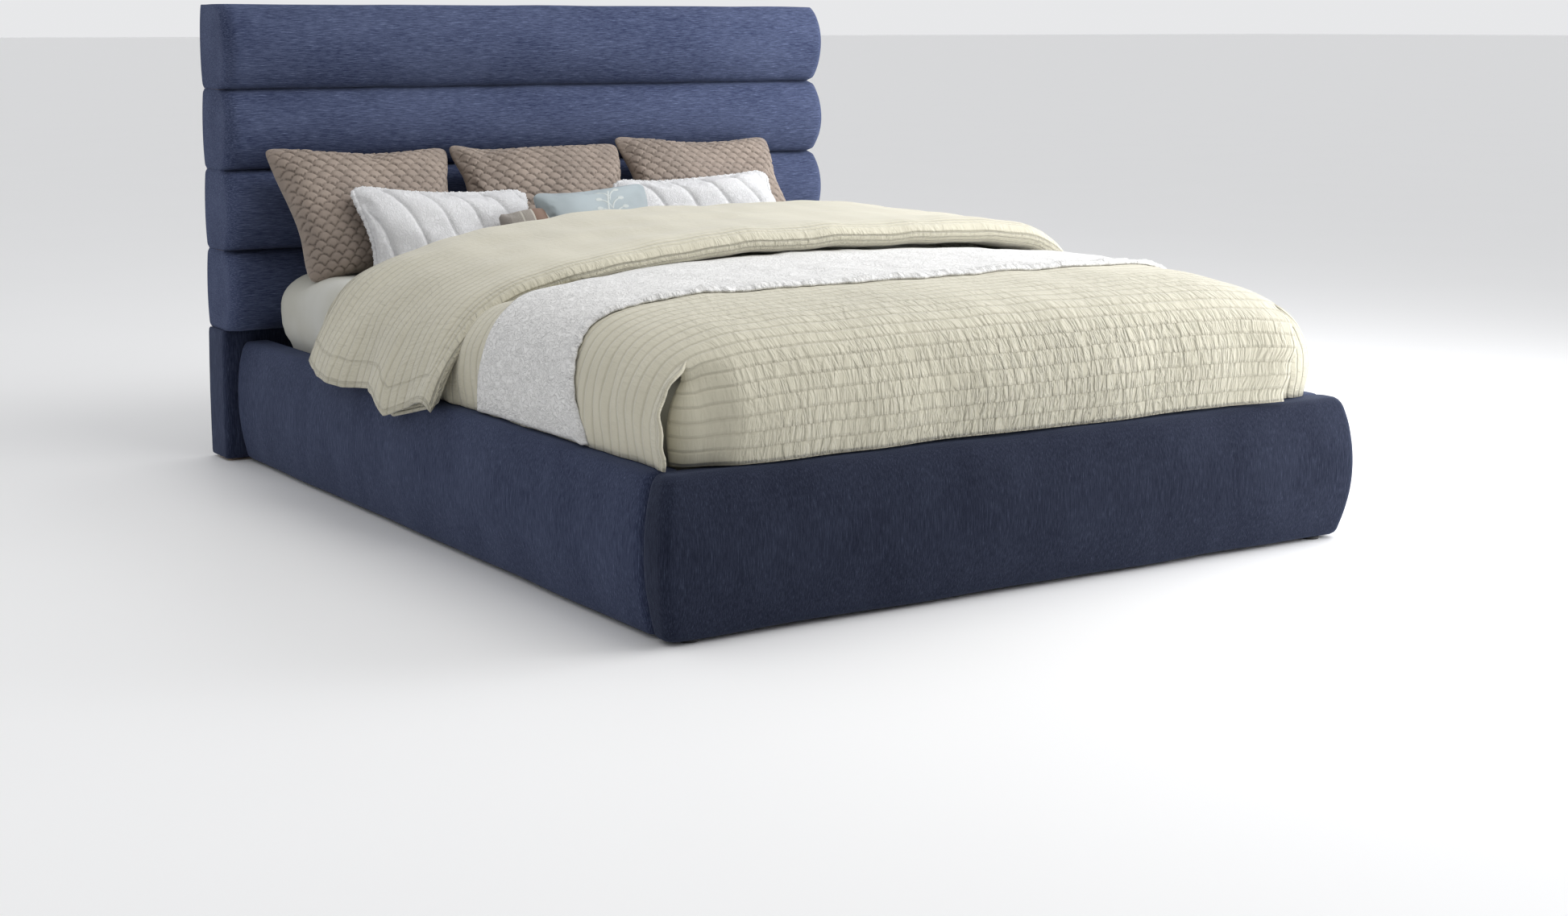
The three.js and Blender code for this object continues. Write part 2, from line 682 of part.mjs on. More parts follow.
function quilt() {
  const hem = RAIL_TOP + QUILT_HEM_LIFT;
  const outside = coverBlock(QUILT_SIDE_LOFT, QUILT_TOP_LOFT, 0, QUILT_EDGE_RADIUS);
  const inside = coverBlock(CLEARANCE, CLEARANCE, 0, MATTRESS_EDGE_RADIUS);
  const below = box([-far, -far, -far], [far, far, hem]);
  const beyond = box([-far, quiltHeadY, -far], [far, far, far]);
  return part("quilt", cut(joined(cut(outside, below, beyond), turnDown()), inside), "quilt");
}

function runner() {
  const hem = RAIL_TOP + QUILT_HEM_LIFT;
  const low = hem - 2 * QUILT_EDGE_RADIUS;
  const growth = CLEARANCE + RUNNER_THICKNESS;
  const inner = coverBlock(
    QUILT_SIDE_LOFT + CLEARANCE,
    QUILT_TOP_LOFT + CLEARANCE,
    low,
    QUILT_EDGE_RADIUS,
  );
  const outer = coverBlock(QUILT_SIDE_LOFT + growth, QUILT_TOP_LOFT + growth, low, QUILT_EDGE_RADIUS);
  const band = box([-far, runnerHeadY - RUNNER_WIDTH, hem], [far, runnerHeadY, far]);
  return part("runner", common(cut(outer, inner), band), "runner");
}

// A stuffed pillow lying flat, its sides pulled in between the corners, closed along its edge.
function pillow({ width, height, thickness }) {
  const steps = PILLOW_STEPS;
  const positions = [];
  const grid = [];
  const ease = (t) => Math.sin((Math.PI / 2) * t);
  for (const face of [1, -1]) {
    for (let j = 0; j <= steps; j++) {
      for (let i = 0; i <= steps; i++) {
        const u = ease((2 * i) / steps - 1);
        const v = ease((2 * j) / steps - 1);
        const rim = (1 - u * u) * (1 - v * v);
        const x = (width / 2) * u * (1 - PILLOW_SIDE_PULL * (1 - v * v));
        const y = (height / 2) * v * (1 - PILLOW_SIDE_PULL * (1 - u * u));
        const z = (face * thickness * Math.pow(Math.max(rim, 0), PILLOW_FULLNESS)) / 2;
        positions.push(x, y, z);
      }
    }
  }
  const row = steps + 1;
  for (let j = 0; j < steps; j++) {
    for (let i = 0; i < steps; i++) {
      const a = j * row + i;
      const b = a + row * row;
      grid.push(a, a + 1, a + row + 1, a, a + row + 1, a + row);
      grid.push(b, b + row + 1, b + 1, b, b + row, b + row + 1);
    }
  }
  const geometry = new THREE.BufferGeometry();
  geometry.setAttribute("position", new THREE.Float32BufferAttribute(positions, 3));
  geometry.setIndex(grid);
  return mergeVertices(geometry, 1e-2);
}

// Stands a pillow on the mattress, leaning back, its middle plane this far in front of the shams'.
function leaning(mesh, size, x, forward) {
  const halfUp = (size.height / 2) * Math.sin(lean);
  const baseY = shamBaseY - forward / Math.sin(lean);
  mesh.rotation.x = lean;
  return at(mesh, x, baseY + halfUp / Math.tan(lean), mattressTop + PILLOW_GAP + halfUp);
}

function pillows() {
  const group = new THREE.Group();
  const stripedX = -(GREY.width + STRIPED.width) / 2 - STRIPED_SIDE_GAP;
  ["left", "middle", "right"].forEach((name, i) => {
    const x = SHAM_ROW_SHIFT + (i - 1) * (SHAM.width + SHAM_SIDE_GAP);
    group.add(leaning(part("sham_" + name, pillow(SHAM), "sham"), SHAM, x, 0));
  });
  const whiteLeft = part("white_pillow_left", pillow(WHITE), "white");
  const whiteRight = part("white_pillow_right", pillow(WHITE), "white");
  const grey = part("grey_pillow", pillow(GREY), "grey");
  const striped = part("striped_pillow", pillow(STRIPED), "striped");
  group.add(leaning(whiteLeft, WHITE, WHITE_LEFT_X, whiteForward));
  group.add(leaning(whiteRight, WHITE, WHITE_RIGHT_X, whiteForward));
  group.add(leaning(grey, GREY, 0, greyForward));
  group.add(leaning(striped, STRIPED, stripedX, stripedForward));
  return group;
}

// --- the whole bed ---------------------------------------------------------

const bed = new THREE.Group();
bed.add(headboard());
bed.add(sideRail(-1), sideRail(1), footboard());
bed.add(cornerFittings("head"), cornerFittings("foot"));
bed.add(slats(), centreSupport(), glides());
bed.add(mattress(), quilt(), runner(), pillows());

export default bed;
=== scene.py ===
"""Looks for an upholstered bed: padded covers, mattress, quilt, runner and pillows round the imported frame."""
import math

import bpy
import bmesh
import numpy as np
from mathutils import Matrix, Vector


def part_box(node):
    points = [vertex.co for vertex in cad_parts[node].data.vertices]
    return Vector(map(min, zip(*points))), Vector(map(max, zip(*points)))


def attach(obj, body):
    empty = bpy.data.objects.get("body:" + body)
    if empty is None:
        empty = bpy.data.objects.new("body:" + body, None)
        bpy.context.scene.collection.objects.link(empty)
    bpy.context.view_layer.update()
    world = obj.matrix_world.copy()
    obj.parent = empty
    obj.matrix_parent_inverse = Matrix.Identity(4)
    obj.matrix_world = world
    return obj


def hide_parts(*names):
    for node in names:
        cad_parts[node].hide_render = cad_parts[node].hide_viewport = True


bl_info = {
    "name": "Upholstered Bed",
    "version": (1, 0, 0),
    "blender": (4, 5, 0),
    "location": "View3D > Sidebar > Bed",
    "description": "Builds the covers, bedding and studio for an upholstered bed",
    "category": "Object",
}

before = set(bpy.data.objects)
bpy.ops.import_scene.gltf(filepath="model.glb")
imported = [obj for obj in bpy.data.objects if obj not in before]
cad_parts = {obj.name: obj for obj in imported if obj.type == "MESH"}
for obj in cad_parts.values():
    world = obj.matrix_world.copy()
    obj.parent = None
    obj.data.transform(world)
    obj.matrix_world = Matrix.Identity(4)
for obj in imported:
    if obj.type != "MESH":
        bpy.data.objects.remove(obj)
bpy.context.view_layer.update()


# --- settings --------------------------------------------------------------


def colour(name, description, default):
    return bpy.props.FloatVectorProperty(
        name=name, description=description, default=default, size=3, min=0.0, max=1.0, subtype="COLOR"
    )


def length(name, description, default):
    return bpy.props.FloatProperty(
        name=name, description=description, default=default, min=0.0, unit="LENGTH", subtype="DISTANCE"
    )


class UpholsterySettings(bpy.types.PropertyGroup):
    navy_dark: colour("Navy, dark yarn", "Darkest yarn of the chenille", (0.009, 0.0135, 0.038))
    navy_light: colour("Navy, light yarn", "Lightest yarn of the chenille", (0.066, 0.081, 0.138))
    crown: length("Channel crown", "How far each headboard channel stands out", 0.052)
    side_crown: length("Side crown", "How far each channel stands out at the sides", 0.005)
    corner: length("Headboard corner", "Radius of the headboard's upright corners", 0.034)
    seam_inset: length("Seam inset", "How deep the seams pull in", 0.011)
    ripple: length("Ripple", "Height of the slow ripples in the covers", 0.0012)


class BeddingSettings(bpy.types.PropertyGroup):
    sheet: colour("Sheet", "Colour of the fitted sheet", (0.56, 0.56, 0.52))
    quilt: colour("Quilt", "Colour of the quilt", (0.555, 0.525, 0.410))
    runner: colour("Runner", "Colour of the runner", (0.84, 0.835, 0.82))
    sham: colour("Shams", "Colour of the quilted shams", (0.29, 0.235, 0.195))
    white: colour("White pillows", "Colour of the white pillows", (0.72, 0.72, 0.73))
    grey: colour("Grey pillow", "Colour of the grey pillow", (0.31, 0.36, 0.38))
    pleat: length("Pleat pitch", "Distance between the quilt's stitched lines", 0.031)
    quilt_thickness: length("Quilt thickness", "Thickness of the quilt", 0.006)
    runner_thickness: length("Runner thickness", "Thickness of the runner", 0.004)
    scale_width: length("Scale width", "Width of one stitched scale on the shams", 0.033)


class StudioSettings(bpy.types.PropertyGroup):
    floor: colour("Floor", "Colour of the floor", (0.93, 0.93, 0.93))
    key: bpy.props.FloatProperty(name="Key light", description="Power of the key light", default=40.0, min=0.0)
    fill: bpy.props.FloatProperty(name="Fill light", description="Power of the side light", default=50.0, min=0.0)
    sky: bpy.props.FloatProperty(name="Sky", description="Strength of the surroundings", default=0.82, min=0.0)
    lens: bpy.props.FloatProperty(name="Lens", description="Focal length", default=53.3, unit="CAMERA")


# --- small maths -----------------------------------------------------------


def spline(points, step=None, count=None):
    """A smooth line through points, divided evenly by its length."""
    p = np.asarray(points, float)
    ends = np.vstack([2 * p[0] - p[1], p, 2 * p[-1] - p[-2]])
    t = np.linspace(0, 1, 24, endpoint=False)[:, None]
    fine = []
    for a, b, c, d in zip(ends[:-3], ends[1:-2], ends[2:-1], ends[3:]):
        fine.append(
            0.5 * (2 * b + (c - a) * t + (2 * a - 5 * b + 4 * c - d) * t**2 + (3 * b - a - 3 * c + d) * t**3)
        )
    fine = np.vstack([*fine, p[-1:]])
    run = np.concatenate([[0], np.cumsum(np.linalg.norm(np.diff(fine, axis=0), axis=1))])
    count = count or max(2, int(round(run[-1] / step)) + 1)
    at = np.linspace(0, run[-1], count)
    return np.stack([np.interp(at, run, fine[:, i]) for i in range(p.shape[1])], 1), at


def waves(a, b, size, seed, parts=9):
    """Smooth, repeatable ripples between about -1 and 1 over the plane (a, b), each about this size."""
    rng = np.random.default_rng(seed)
    total = np.zeros(np.broadcast(a, b).shape)
    for _ in range(parts):
        angle, phase = rng.uniform(0, 2 * math.pi, 2)
        k = 2 * math.pi / (size * rng.uniform(0.6, 1.7))
        total = total + np.sin((a * math.cos(angle) + b * math.sin(angle)) * k + phase)
    return total / math.sqrt(parts) / 1.4


def smooth(x, low, high):
    """Rises smoothly from 0 at low to 1 at high."""
    t = np.clip((np.asarray(x, float) - low) / (high - low), 0, 1)
    return t * t * (3 - 2 * t)


# --- mesh helpers ----------------------------------------------------------


def grid_faces(rows, columns, start=0, wrap=False):
    """Quads of a grid of points stored row by row."""
    faces = []
    for j in range(rows - 1):
        for i in range(columns if wrap else columns - 1):
            k = (i + 1) % columns
            faces.append((start + j * columns + i, start + j * columns + k,
                          start + (j + 1) * columns + k, start + (j + 1) * columns + i))
    return faces


def make_object(name, points, faces, uvs=None, values=None):
    """A mesh object from points and faces, with a UV place and named values for each point."""
    mesh = bpy.data.meshes.new(name)
    mesh.from_pydata([tuple(p) for p in np.asarray(points, float)], [], faces)
    for key, data in (values or {}).items():
        layer = mesh.attributes.new(key, "FLOAT", "POINT")
        layer.data.foreach_set("value", np.asarray(data, np.float32))
    if uvs is not None:
        layer = mesh.uv_layers.new(name="cloth")
        corners = np.zeros(len(mesh.loops), np.int32)
        mesh.loops.foreach_get("vertex_index", corners)
        layer.data.foreach_set("uv", np.asarray(uvs, np.float32)[corners].ravel())
    mesh.validate()
    obj = bpy.data.objects.new(name, mesh)
    bpy.context.scene.collection.objects.link(obj)
    return obj


def tidy(obj, distance=1e-5):
    """Merges doubled points and turns the faces outwards."""
    bm = bmesh.new()
    bm.from_mesh(obj.data)
    bmesh.ops.remove_doubles(bm, verts=bm.verts, dist=distance)
    bmesh.ops.dissolve_degenerate(bm, edges=bm.edges, dist=1e-6)
    bmesh.ops.recalc_face_normals(bm, faces=bm.faces)
    bm.to_mesh(obj.data)
    bm.free()


def points_of(obj):
    """The places of a mesh's points."""
    co = np.zeros(len(obj.data.vertices) * 3)
    obj.data.vertices.foreach_get("co", co)
    return co.reshape(-1, 3)


def normals_of(obj):
    """The normals at a mesh's points."""
    normal = np.zeros(len(obj.data.vertices) * 3, np.float32)
    obj.data.vertices.foreach_get("normal", normal)
    return normal.reshape(-1, 3)


def pick(obj):
    """Selects one object alone and makes it active."""
    bpy.ops.object.select_all(action="DESELECT")
    obj.select_set(True)
    bpy.context.view_layer.objects.active = obj


def apply_modifier(obj, kind, **settings):
    """Adds a modifier and applies it."""
    modifier = obj.modifiers.new(kind.title(), kind)
    for key, value in settings.items():
        setattr(modifier, key, value)
    pick(obj)
    bpy.ops.object.modifier_apply(modifier=modifier.name)


def shade(obj, angle=None):
    """Shades smooth, with sharp edges past the angle in degrees if one is given."""
    pick(obj)
    if angle is None:
        bpy.ops.object.shade_smooth()
    else:
        bpy.ops.object.shade_smooth_by_angle(angle=math.radians(angle))


def hollow(obj, low, high):
    """Cuts a box-shaped room out of a padded cover."""
    size = [h - l for l, h in zip(low, high)]
    bpy.ops.object.select_all(action="DESELECT")
    bpy.ops.mesh.primitive_cube_add(size=1, location=[(l + h) / 2 for l, h in zip(low, high)])
    tool = bpy.context.object
    tool.scale = size
    bpy.ops.object.transform_apply(location=True, rotation=True, scale=True)
    apply_modifier(obj, "BOOLEAN", operation="DIFFERENCE", solver="EXACT", object=tool)
    bpy.data.objects.remove(tool)


def finish_piece(obj, body, material, slot, *nodes):
    """Gives a piece its material, the body it rides on and the CAD nodes it replaces. The slot is not used."""
    obj.data.materials.clear()
    obj.data.materials.append(material)
    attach(obj, body)
    if nodes:
        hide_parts(*nodes)
    return obj


def outline(left, right, front, back, radius, counts=(120, 7, 10, 4)):
    """A plan outline, anticlockwise from the front left, rounded at its two front corners."""
    n_front, n_corner, n_side, n_back = counts
    turn = np.linspace(0, math.pi / 2, n_corner + 1)
    x = np.linspace(left + radius, right - radius, n_front)
    parts = [np.stack([x, np.full_like(x, front)], 1)]
    parts.append(np.stack([right - radius + radius * np.sin(turn), front + radius - radius * np.cos(turn)], 1)[1:])
    y = front + radius + (back - front - radius) * np.sin(np.linspace(0, math.pi / 2, n_side))[1:]
    parts.append(np.stack([np.full_like(y, right), y], 1))
    x = np.linspace(right, left, n_back)[1:]
    parts.append(np.stack([x, np.full_like(x, back)], 1))
    parts.append(np.stack([np.full_like(y, left), y[::-1]], 1)[1:])
    parts.append(np.stack([left + radius - radius * np.cos(turn), front + radius - radius * np.sin(turn)], 1)[:-1])
    return np.vstack(parts)


def stacked(name, rings):
    """A closed solid from plan outlines [(points, z), ...] from the bottom up, capped at both ends."""
    count = len(rings[0][0])
    points = [np.column_stack([ring, np.broadcast_to(z, (count,))]) for ring, z in rings]
    faces = grid_faces(len(rings), count, wrap=True)
    faces.append(tuple(reversed(range(count))))
    faces.append(tuple(range((len(rings) - 1) * count, len(rings) * count)))
    obj = make_object(name, np.vstack(points), faces)
    tidy(obj)
    return obj


def ripple(obj, height, size, seed, keep=None):
    """Moves points a little along their normals, in slow ripples."""
    co, normal = points_of(obj), normals_of(obj)
    amount = height * waves(co[:, 0] + 0.7 * co[:, 1], co[:, 2] - 0.5 * co[:, 1], size, seed)
    if keep is not None:
        amount = amount * keep(co)
    obj.data.vertices.foreach_set("co", (co + normal * amount[:, None]).ravel())
    obj.data.update()


# --- materials -------------------------------------------------------------


class Finish:
    """A node material with a Principled shader, built by short calls."""

    def __init__(self, name, roughness=0.8, metallic=0.0, sheen=0.0, sheen_tint=(1, 1, 1, 1), sheen_roughness=0.5):
        self.material = bpy.data.materials.new(name)
        self.material.use_nodes = True
        self.tree = self.material.node_tree
        self.shader = self.tree.nodes["Principled BSDF"]
        self.set("Roughness", roughness)
        self.set("Metallic", metallic)
        self.set("Sheen Weight", sheen)
        self.set("Sheen Roughness", sheen_roughness)
        self.set("Sheen Tint", sheen_tint)

    def set(self, socket, value):
        self.shader.inputs[socket].default_value = value

    def link(self, source, target):
        self.tree.links.new(source, target)

    def place(self, scale=(1, 1, 1), kind="Object"):
        """Coordinates in metres, stretched by scale."""
        source = self.tree.nodes.new("ShaderNodeTexCoord").outputs[kind]
        node = self.tree.nodes.new("ShaderNodeMapping")
        self.link(source, node.inputs["Vector"])
        node.inputs["Scale"].default_value = scale
        return node.outputs["Vector"]

    def noise(self, vector, detail=2.0, roughness=0.5, distortion=0.0):
        """Fractal noise at these coordinates, whose scale sets its grain."""
        node = self.tree.nodes.new("ShaderNodeTexNoise")
        self.link(vector, node.inputs["Vector"])
        for key, value in (("Scale", 1.0), ("Detail", detail), ("Roughness", roughness), ("Distortion", distortion)):
            node.inputs[key].default_value = value
        return node.outputs["Fac"]

    def value(self, name):
        """A value that the mesh holds for each of its points."""
        node = self.tree.nodes.new("ShaderNodeAttribute")
        node.attribute_name = name
        return node.outputs["Fac"]

    def math(self, operation, a, b=None, c=None):
        node = self.tree.nodes.new("ShaderNodeMath")
        node.operation = operation
        for socket, value in zip(node.inputs, (a, b, c)):
            if value is None:
                continue
            if isinstance(value, bpy.types.NodeSocket):
                self.link(value, socket)
            else:
                socket.default_value = value
        return node.outputs[0]

    def span(self, source, low, high, to_low=0.0, to_high=1.0, kind="SMOOTHSTEP"):
        """Maps low..high to to_low..to_high."""
        node = self.tree.nodes.new("ShaderNodeMapRange")
        node.interpolation_type = kind
        self.link(source, node.inputs["Value"])
        for key, value in (("From Min", low), ("From Max", high), ("To Min", to_low), ("To Max", to_high)):
            node.inputs[key].default_value = value
        return node.outputs["Result"]

    def mix(self, factor, a, b):
        """Mixes two colours."""
        node = self.tree.nodes.new("ShaderNodeMix")
        node.data_type = "RGBA"
        for socket, value in ((node.inputs["Factor"], factor), (node.inputs[6], a), (node.inputs[7], b)):
            if isinstance(value, bpy.types.NodeSocket):
                self.link(value, socket)
            elif socket.type == "VALUE":
                socket.default_value = value
            else:
                socket.default_value = (*value[:3], 1)
        return node.outputs[2]

    def base(self, source):
        self.link(source, self.shader.inputs["Base Color"])

    def bump(self, height, strength=1.0, distance=0.001, after=None):
        """Raises the surface by height times distance, on top of an earlier bump if one is given."""
        node = self.tree.nodes.new("ShaderNodeBump")
        node.inputs["Strength"].default_value = strength
        node.inputs["Distance"].default_value = distance
        self.link(height, node.inputs["Height"])
        if after is not None:
            self.link(after, node.inputs["Normal"])
        self.link(node.outputs["Normal"], self.shader.inputs["Normal"])
        return node.outputs["Normal"]


def axis(finish, vector, which):
    """One coordinate of a vector."""
    node = finish.tree.nodes.new("ShaderNodeSeparateXYZ")
    finish.link(vector, node.inputs[0])
    return node.outputs[which]


def chenille(name, along, painted_brightness):
    """Woven chenille whose slubs run along one axis, x or z; the last argument scales all its colours lighter or
    darker, painting in the light or shade that each copy of the fabric gets.
    """
    look = bpy.context.scene.bed_upholstery
    f = Finish(name, roughness=0.9, sheen=0.16, sheen_tint=(0.45, 0.55, 0.85, 1), sheen_roughness=0.4)
    f.set("Specular IOR Level", 0.15)
    slub = (42, 240, 560) if along == "x" else (520, 520, 40)
    fine = (170, 900, 1900) if along == "x" else (1900, 1900, 170)
    cloud = (3.2, 9, 9) if along == "x" else (9, 9, 5)
    streak = f.noise(f.place(slub), detail=3.0, roughness=0.62)
    thread = f.noise(f.place(fine), detail=2.0)
    mottle = f.noise(f.place(cloud), detail=5.0, roughness=0.62)
    tone = f.math("ADD", f.span(streak, 0.3, 0.72, -0.24, 0.34), f.span(mottle, 0.3, 0.7, 0.34, 0.56))
    tone = f.math("ADD", tone, f.span(thread, 0.3, 0.7, -0.10, 0.10))
    # painted light and shade: the yarn and fleck colours are scaled by the brightness given for this copy of the fabric
    base = f.mix(tone, tuple(c * painted_brightness for c in look.navy_dark), tuple(c * painted_brightness for c in look.navy_light))
    fleck = f.span(streak, 0.61, 0.76)
    f.base(f.mix(f.math("MULTIPLY", fleck, 0.5), base, tuple(c * painted_brightness for c in (0.125, 0.155, 0.25))))
    low = f.bump(streak, 0.22, 0.0009)
    f.bump(thread, 0.35, 0.0005, low)
    return f.material


def cotton(name, tint):
    """Plain woven cotton."""
    weave, warm = 900.0, (0.96, 0.95, 0.9)
    f = Finish(name, roughness=0.86, sheen=0.08)
    mottle = f.noise(f.place((6, 6, 6)), detail=3.0)
    thread = f.noise(f.place((weave, weave, weave)), detail=1.0)
    shade_low = tuple(t * w * 0.93 for t, w in zip(tint, warm))
    f.base(f.mix(f.span(mottle, 0.3, 0.7), shade_low, tint))
    f.bump(thread, 0.25, 0.0005)
    return f.material


def quilted_cotton():
    """Cotton stitched in close parallel lines, puckered between them."""
    look = bpy.context.scene.bed_bedding
    tint = tuple(look.quilt)
    f = Finish("pleated_cotton", roughness=0.82, sheen=0.32)
    place = f.place((1, 1, 1), "UV")
    u, v = axis(f, place, 0), axis(f, place, 1)
    hem, crush, pleat = f.value("hem"), f.value("crush"), f.value("pleat")
    pitch = look.pleat
    wander = f.math("MULTIPLY", f.math("SUBTRACT", f.noise(f.place((11, 4, 1), "UV")), 0.5), 0.007)
    line = f.math("ADD", v, wander)
    away = f.math("PINGPONG", line, pitch / 2)
    groove = f.math("MULTIPLY", f.span(away, 0.0, pitch * 0.20), pleat)
    row = f.math("FLOOR", f.math("DIVIDE", line, pitch))
    spot = f.tree.nodes.new("ShaderNodeCombineXYZ")
    f.link(f.math("MULTIPLY", u, 74.0), spot.inputs[0])
    f.link(f.math("ADD", f.math("MULTIPLY", v, 16.0), f.math("MULTIPLY", row, 0.7)), spot.inputs[1])
    pucker = f.noise(spot.outputs[0], detail=3.0, roughness=0.6, distortion=0.5)
    fade = f.span(f.noise(f.place((3.2, 2.4, 1), "UV"), detail=2.0), 0.35, 0.58, 0.5, 1.0)
    pucker = f.math("MULTIPLY", f.math("MULTIPLY", f.span(pucker, 0.34, 0.68), crush), fade)
    stitch = f.math("MINIMUM", f.span(f.math("ABSOLUTE", f.math("SUBTRACT", hem, 0.060)), 0.0, 0.005),
                    f.span(f.math("ABSOLUTE", f.math("SUBTRACT", hem, 0.014)), 0.0, 0.004))
    height = f.math("ADD", f.math("MULTIPLY", groove, 0.36), f.math("MULTIPLY", pucker, 0.85))
    height = f.math("ADD", height, f.math("MULTIPLY", stitch, 0.42))
    thread = f.noise(f.place((1100, 1100, 1), "UV"), detail=1.0)
    mottle = f.noise(f.place((4, 4, 4)), detail=3.0)
    # painted shade: seam darkens the colour towards dark along each stitched groove and along the hem stitching,
    # standing in for the shade in the grooves
    dark = tuple(t * k for t, k in zip(tint, (0.62, 0.59, 0.52)))
    pale = tuple(min(1.0, t * 1.08) for t in tint)
    base = f.mix(f.span(mottle, 0.3, 0.7), tint, pale)
    seam = f.math("MULTIPLY", f.span(away, 0.0, 0.0026, 0.34, 0.0), pleat)
    seam = f.math("MAXIMUM", seam, f.span(stitch, 0.0, 0.5, 0.26, 0.0))
    f.base(f.mix(seam, base, dark))
    low = f.bump(height, 1.0, 0.0058)
    f.bump(thread, 0.15, 0.0004, low)
    return f.material


def jacquard(name, tint, size, strength, sheen):
    """White cloth with a raised woven pattern of small sprays, and a crimped band near its hem."""
    f = Finish(name, roughness=0.75, sheen=sheen)
    place = f.place((size, size * 0.62, size), "UV")
    bent = f.noise(place, detail=2.0, roughness=0.7, distortion=1.6)
    fine = f.noise(f.place((520, 520, 1), "UV"), detail=1.0)
    raised = f.span(bent, 0.46, 0.56)
    crimp = f.math("MULTIPLY", f.noise(f.place((75, 16, 1), "UV"), detail=2.0, distortion=0.4), f.value("crush"))
    height = f.math("ADD", f.math("MULTIPLY", raised, 0.6), f.math("MULTIPLY", crimp, 3.0))
    height = f.math("ADD", height, f.math("MULTIPLY", fine, 0.15))
    dark = tuple(t * 0.93 for t in tint)
    f.base(f.mix(raised, dark, tint))
    f.bump(height, strength, 0.0018)
    return f.material


def wood(name, light, dark, along):
    """Planed softwood with grain along one axis."""
    f = Finish(name, roughness=0.6)
    scale = {"x": (2.2, 26, 26), "y": (26, 2.2, 26), "z": (26, 26, 2.2)}[along]
    grain = f.noise(f.place(scale), detail=6.0, roughness=0.6, distortion=0.8)
    pore = f.noise(f.place(tuple(s * 16 for s in scale)), detail=2.0)
    f.base(f.mix(f.span(grain, 0.36, 0.64), light, dark))
    f.bump(f.math("ADD", grain, f.math("MULTIPLY", pore, 0.5)), 0.35, 0.0006)
    return f.material


def metal(name, tint, roughness, metallic, size, strength):
    """A plain finish with a fine grain: metal, powder coat, plastic or felt."""
    f = Finish(name, roughness=roughness, metallic=metallic)
    grain = f.noise(f.place((size, size, size)), detail=2.0)
    f.base(f.mix(grain, tuple(t * 0.85 for t in tint), tint))
    f.bump(grain, strength, 0.0003)
    return f.material


# --- headboard -------------------------------------------------------------


def channel_profile(t):
    """How far a channel stands out, 0 to 1, at t from its lower seam (-1) to its upper one (1)."""
    return np.power(np.clip(1 - t * t, 0, 1), 0.70)


class BED_OT_headboard(bpy.types.Operator):
    """Builds the headboard's channels and the plain panel under them"""

    bl_idname = "bed.headboard"
    bl_label = "Headboard"

    def execute(self, context):
        look = context.scene.bed_upholstery
        # painted light: the channels get a lighter copy of the chenille, scaled by 1.55, for the light on the headboard
        cloth = chenille("chenille_across_painted_light", "x", 1.55)
        room_low, room_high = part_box("headboard_front_board")
        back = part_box("headboard_back_cover")[1].y
        gap = 0.0006
        room = ([room_low.x - gap, room_low.y - gap, -0.1], [room_high.x + gap, back + 0.1, room_high.z + gap])
        lower_low, lower_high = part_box("headboard_lower_pad")
        side = lower_high.x
        for number in (1, 2, 3, 4):
            node = f"headboard_channel_{number}"
            low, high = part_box(node)
            seam = low.y + look.crown
            middle, half = (low.z + high.z) / 2, (high.z - low.z) / 2
            rings = []
            top = number == 1
            for a in np.linspace(-math.pi / 2, math.pi / 2, 33):
                t = math.sin(a)
                bulge = float(channel_profile(t))
                tight = smooth(abs(t), 0.9, 1.0) * (0 if top and t > 0 else 1)
                across = outline(
                    -side + look.side_crown * (1 - bulge) + 0.25 * look.seam_inset * tight,
                    side - look.side_crown * (1 - bulge) - 0.25 * look.seam_inset * tight,
                    seam - look.crown * bulge + look.seam_inset * tight,
                    back,
                    look.corner,
                    (150, 9, 12, 3),
                )
                level = np.full(len(across), middle + half * t * 0.9985)
                near = smooth(abs(t), 0.45, 0.97)
                pinch = waves(across[:, 0] * 1.0, across[:, 1] * 1.0, 0.045, 11 * number + (1 if t > 0 else 5))
                pinch += 0.9 * waves(across[:, 0], across[:, 1], 0.12, 7 * number + (2 if t > 0 else 6))
                front = smooth(back - across[:, 1], 0.05, 0.12)
                across[:, 1] += 0.0016 * near * (1 - 0.5 * tight) * pinch * front
                rings.append((across, level))
            if top:
                for inset in (0.004, 0.012, 0.03):
                    across = outline(-side + look.side_crown + inset, side - look.side_crown - inset,
                                     seam + inset, back, look.corner, (150, 9, 12, 3))
                    rings.append((across, np.full(len(across), high.z + 0.0006 * smooth(inset, 0, 0.03))))
            pad = stacked(node + "_pad", rings)
            ripple(pad, look.ripple, 0.22, 20 + number, lambda co: smooth(back - co[:, 1], 0.02, 0.08))
            hollow(pad, *room)
            shade(pad, 50)
            finish_piece(pad, "bed_frame", cloth, "navy_chenille", node)
        rings = []
        for z, inset in ((0, 0.004), (0.003, 0.001), (0.01, 0), (0.08, -0.001), (0.16, -0.0015), (0.24, -0.001),
                         (0.31, 0), (0.320, 0.001), (0.3235, 0.004)):
            across = outline(-side + inset, side - inset, lower_low.y + inset, back, 0.012, (150, 6, 12, 3))
            rings.append((across, np.full(len(across), lower_low.z + z)))
        panel = stacked("headboard_lower_panel", rings)
        hollow(panel, *room)
        shade(panel, 40)
        # painted shade: the lower panel gets a slightly darker copy of the chenille, scaled by 0.9
        finish_piece(panel, "bed_frame", chenille("chenille_panel_painted_shade", "z", 0.9), "navy_chenille", "headboard_lower_pad")
        return {"FINISHED"}


# --- side rails and footboard ----------------------------------------------


BOARD_GAP = 0.0003  # between a board and the room cut for it in its padding


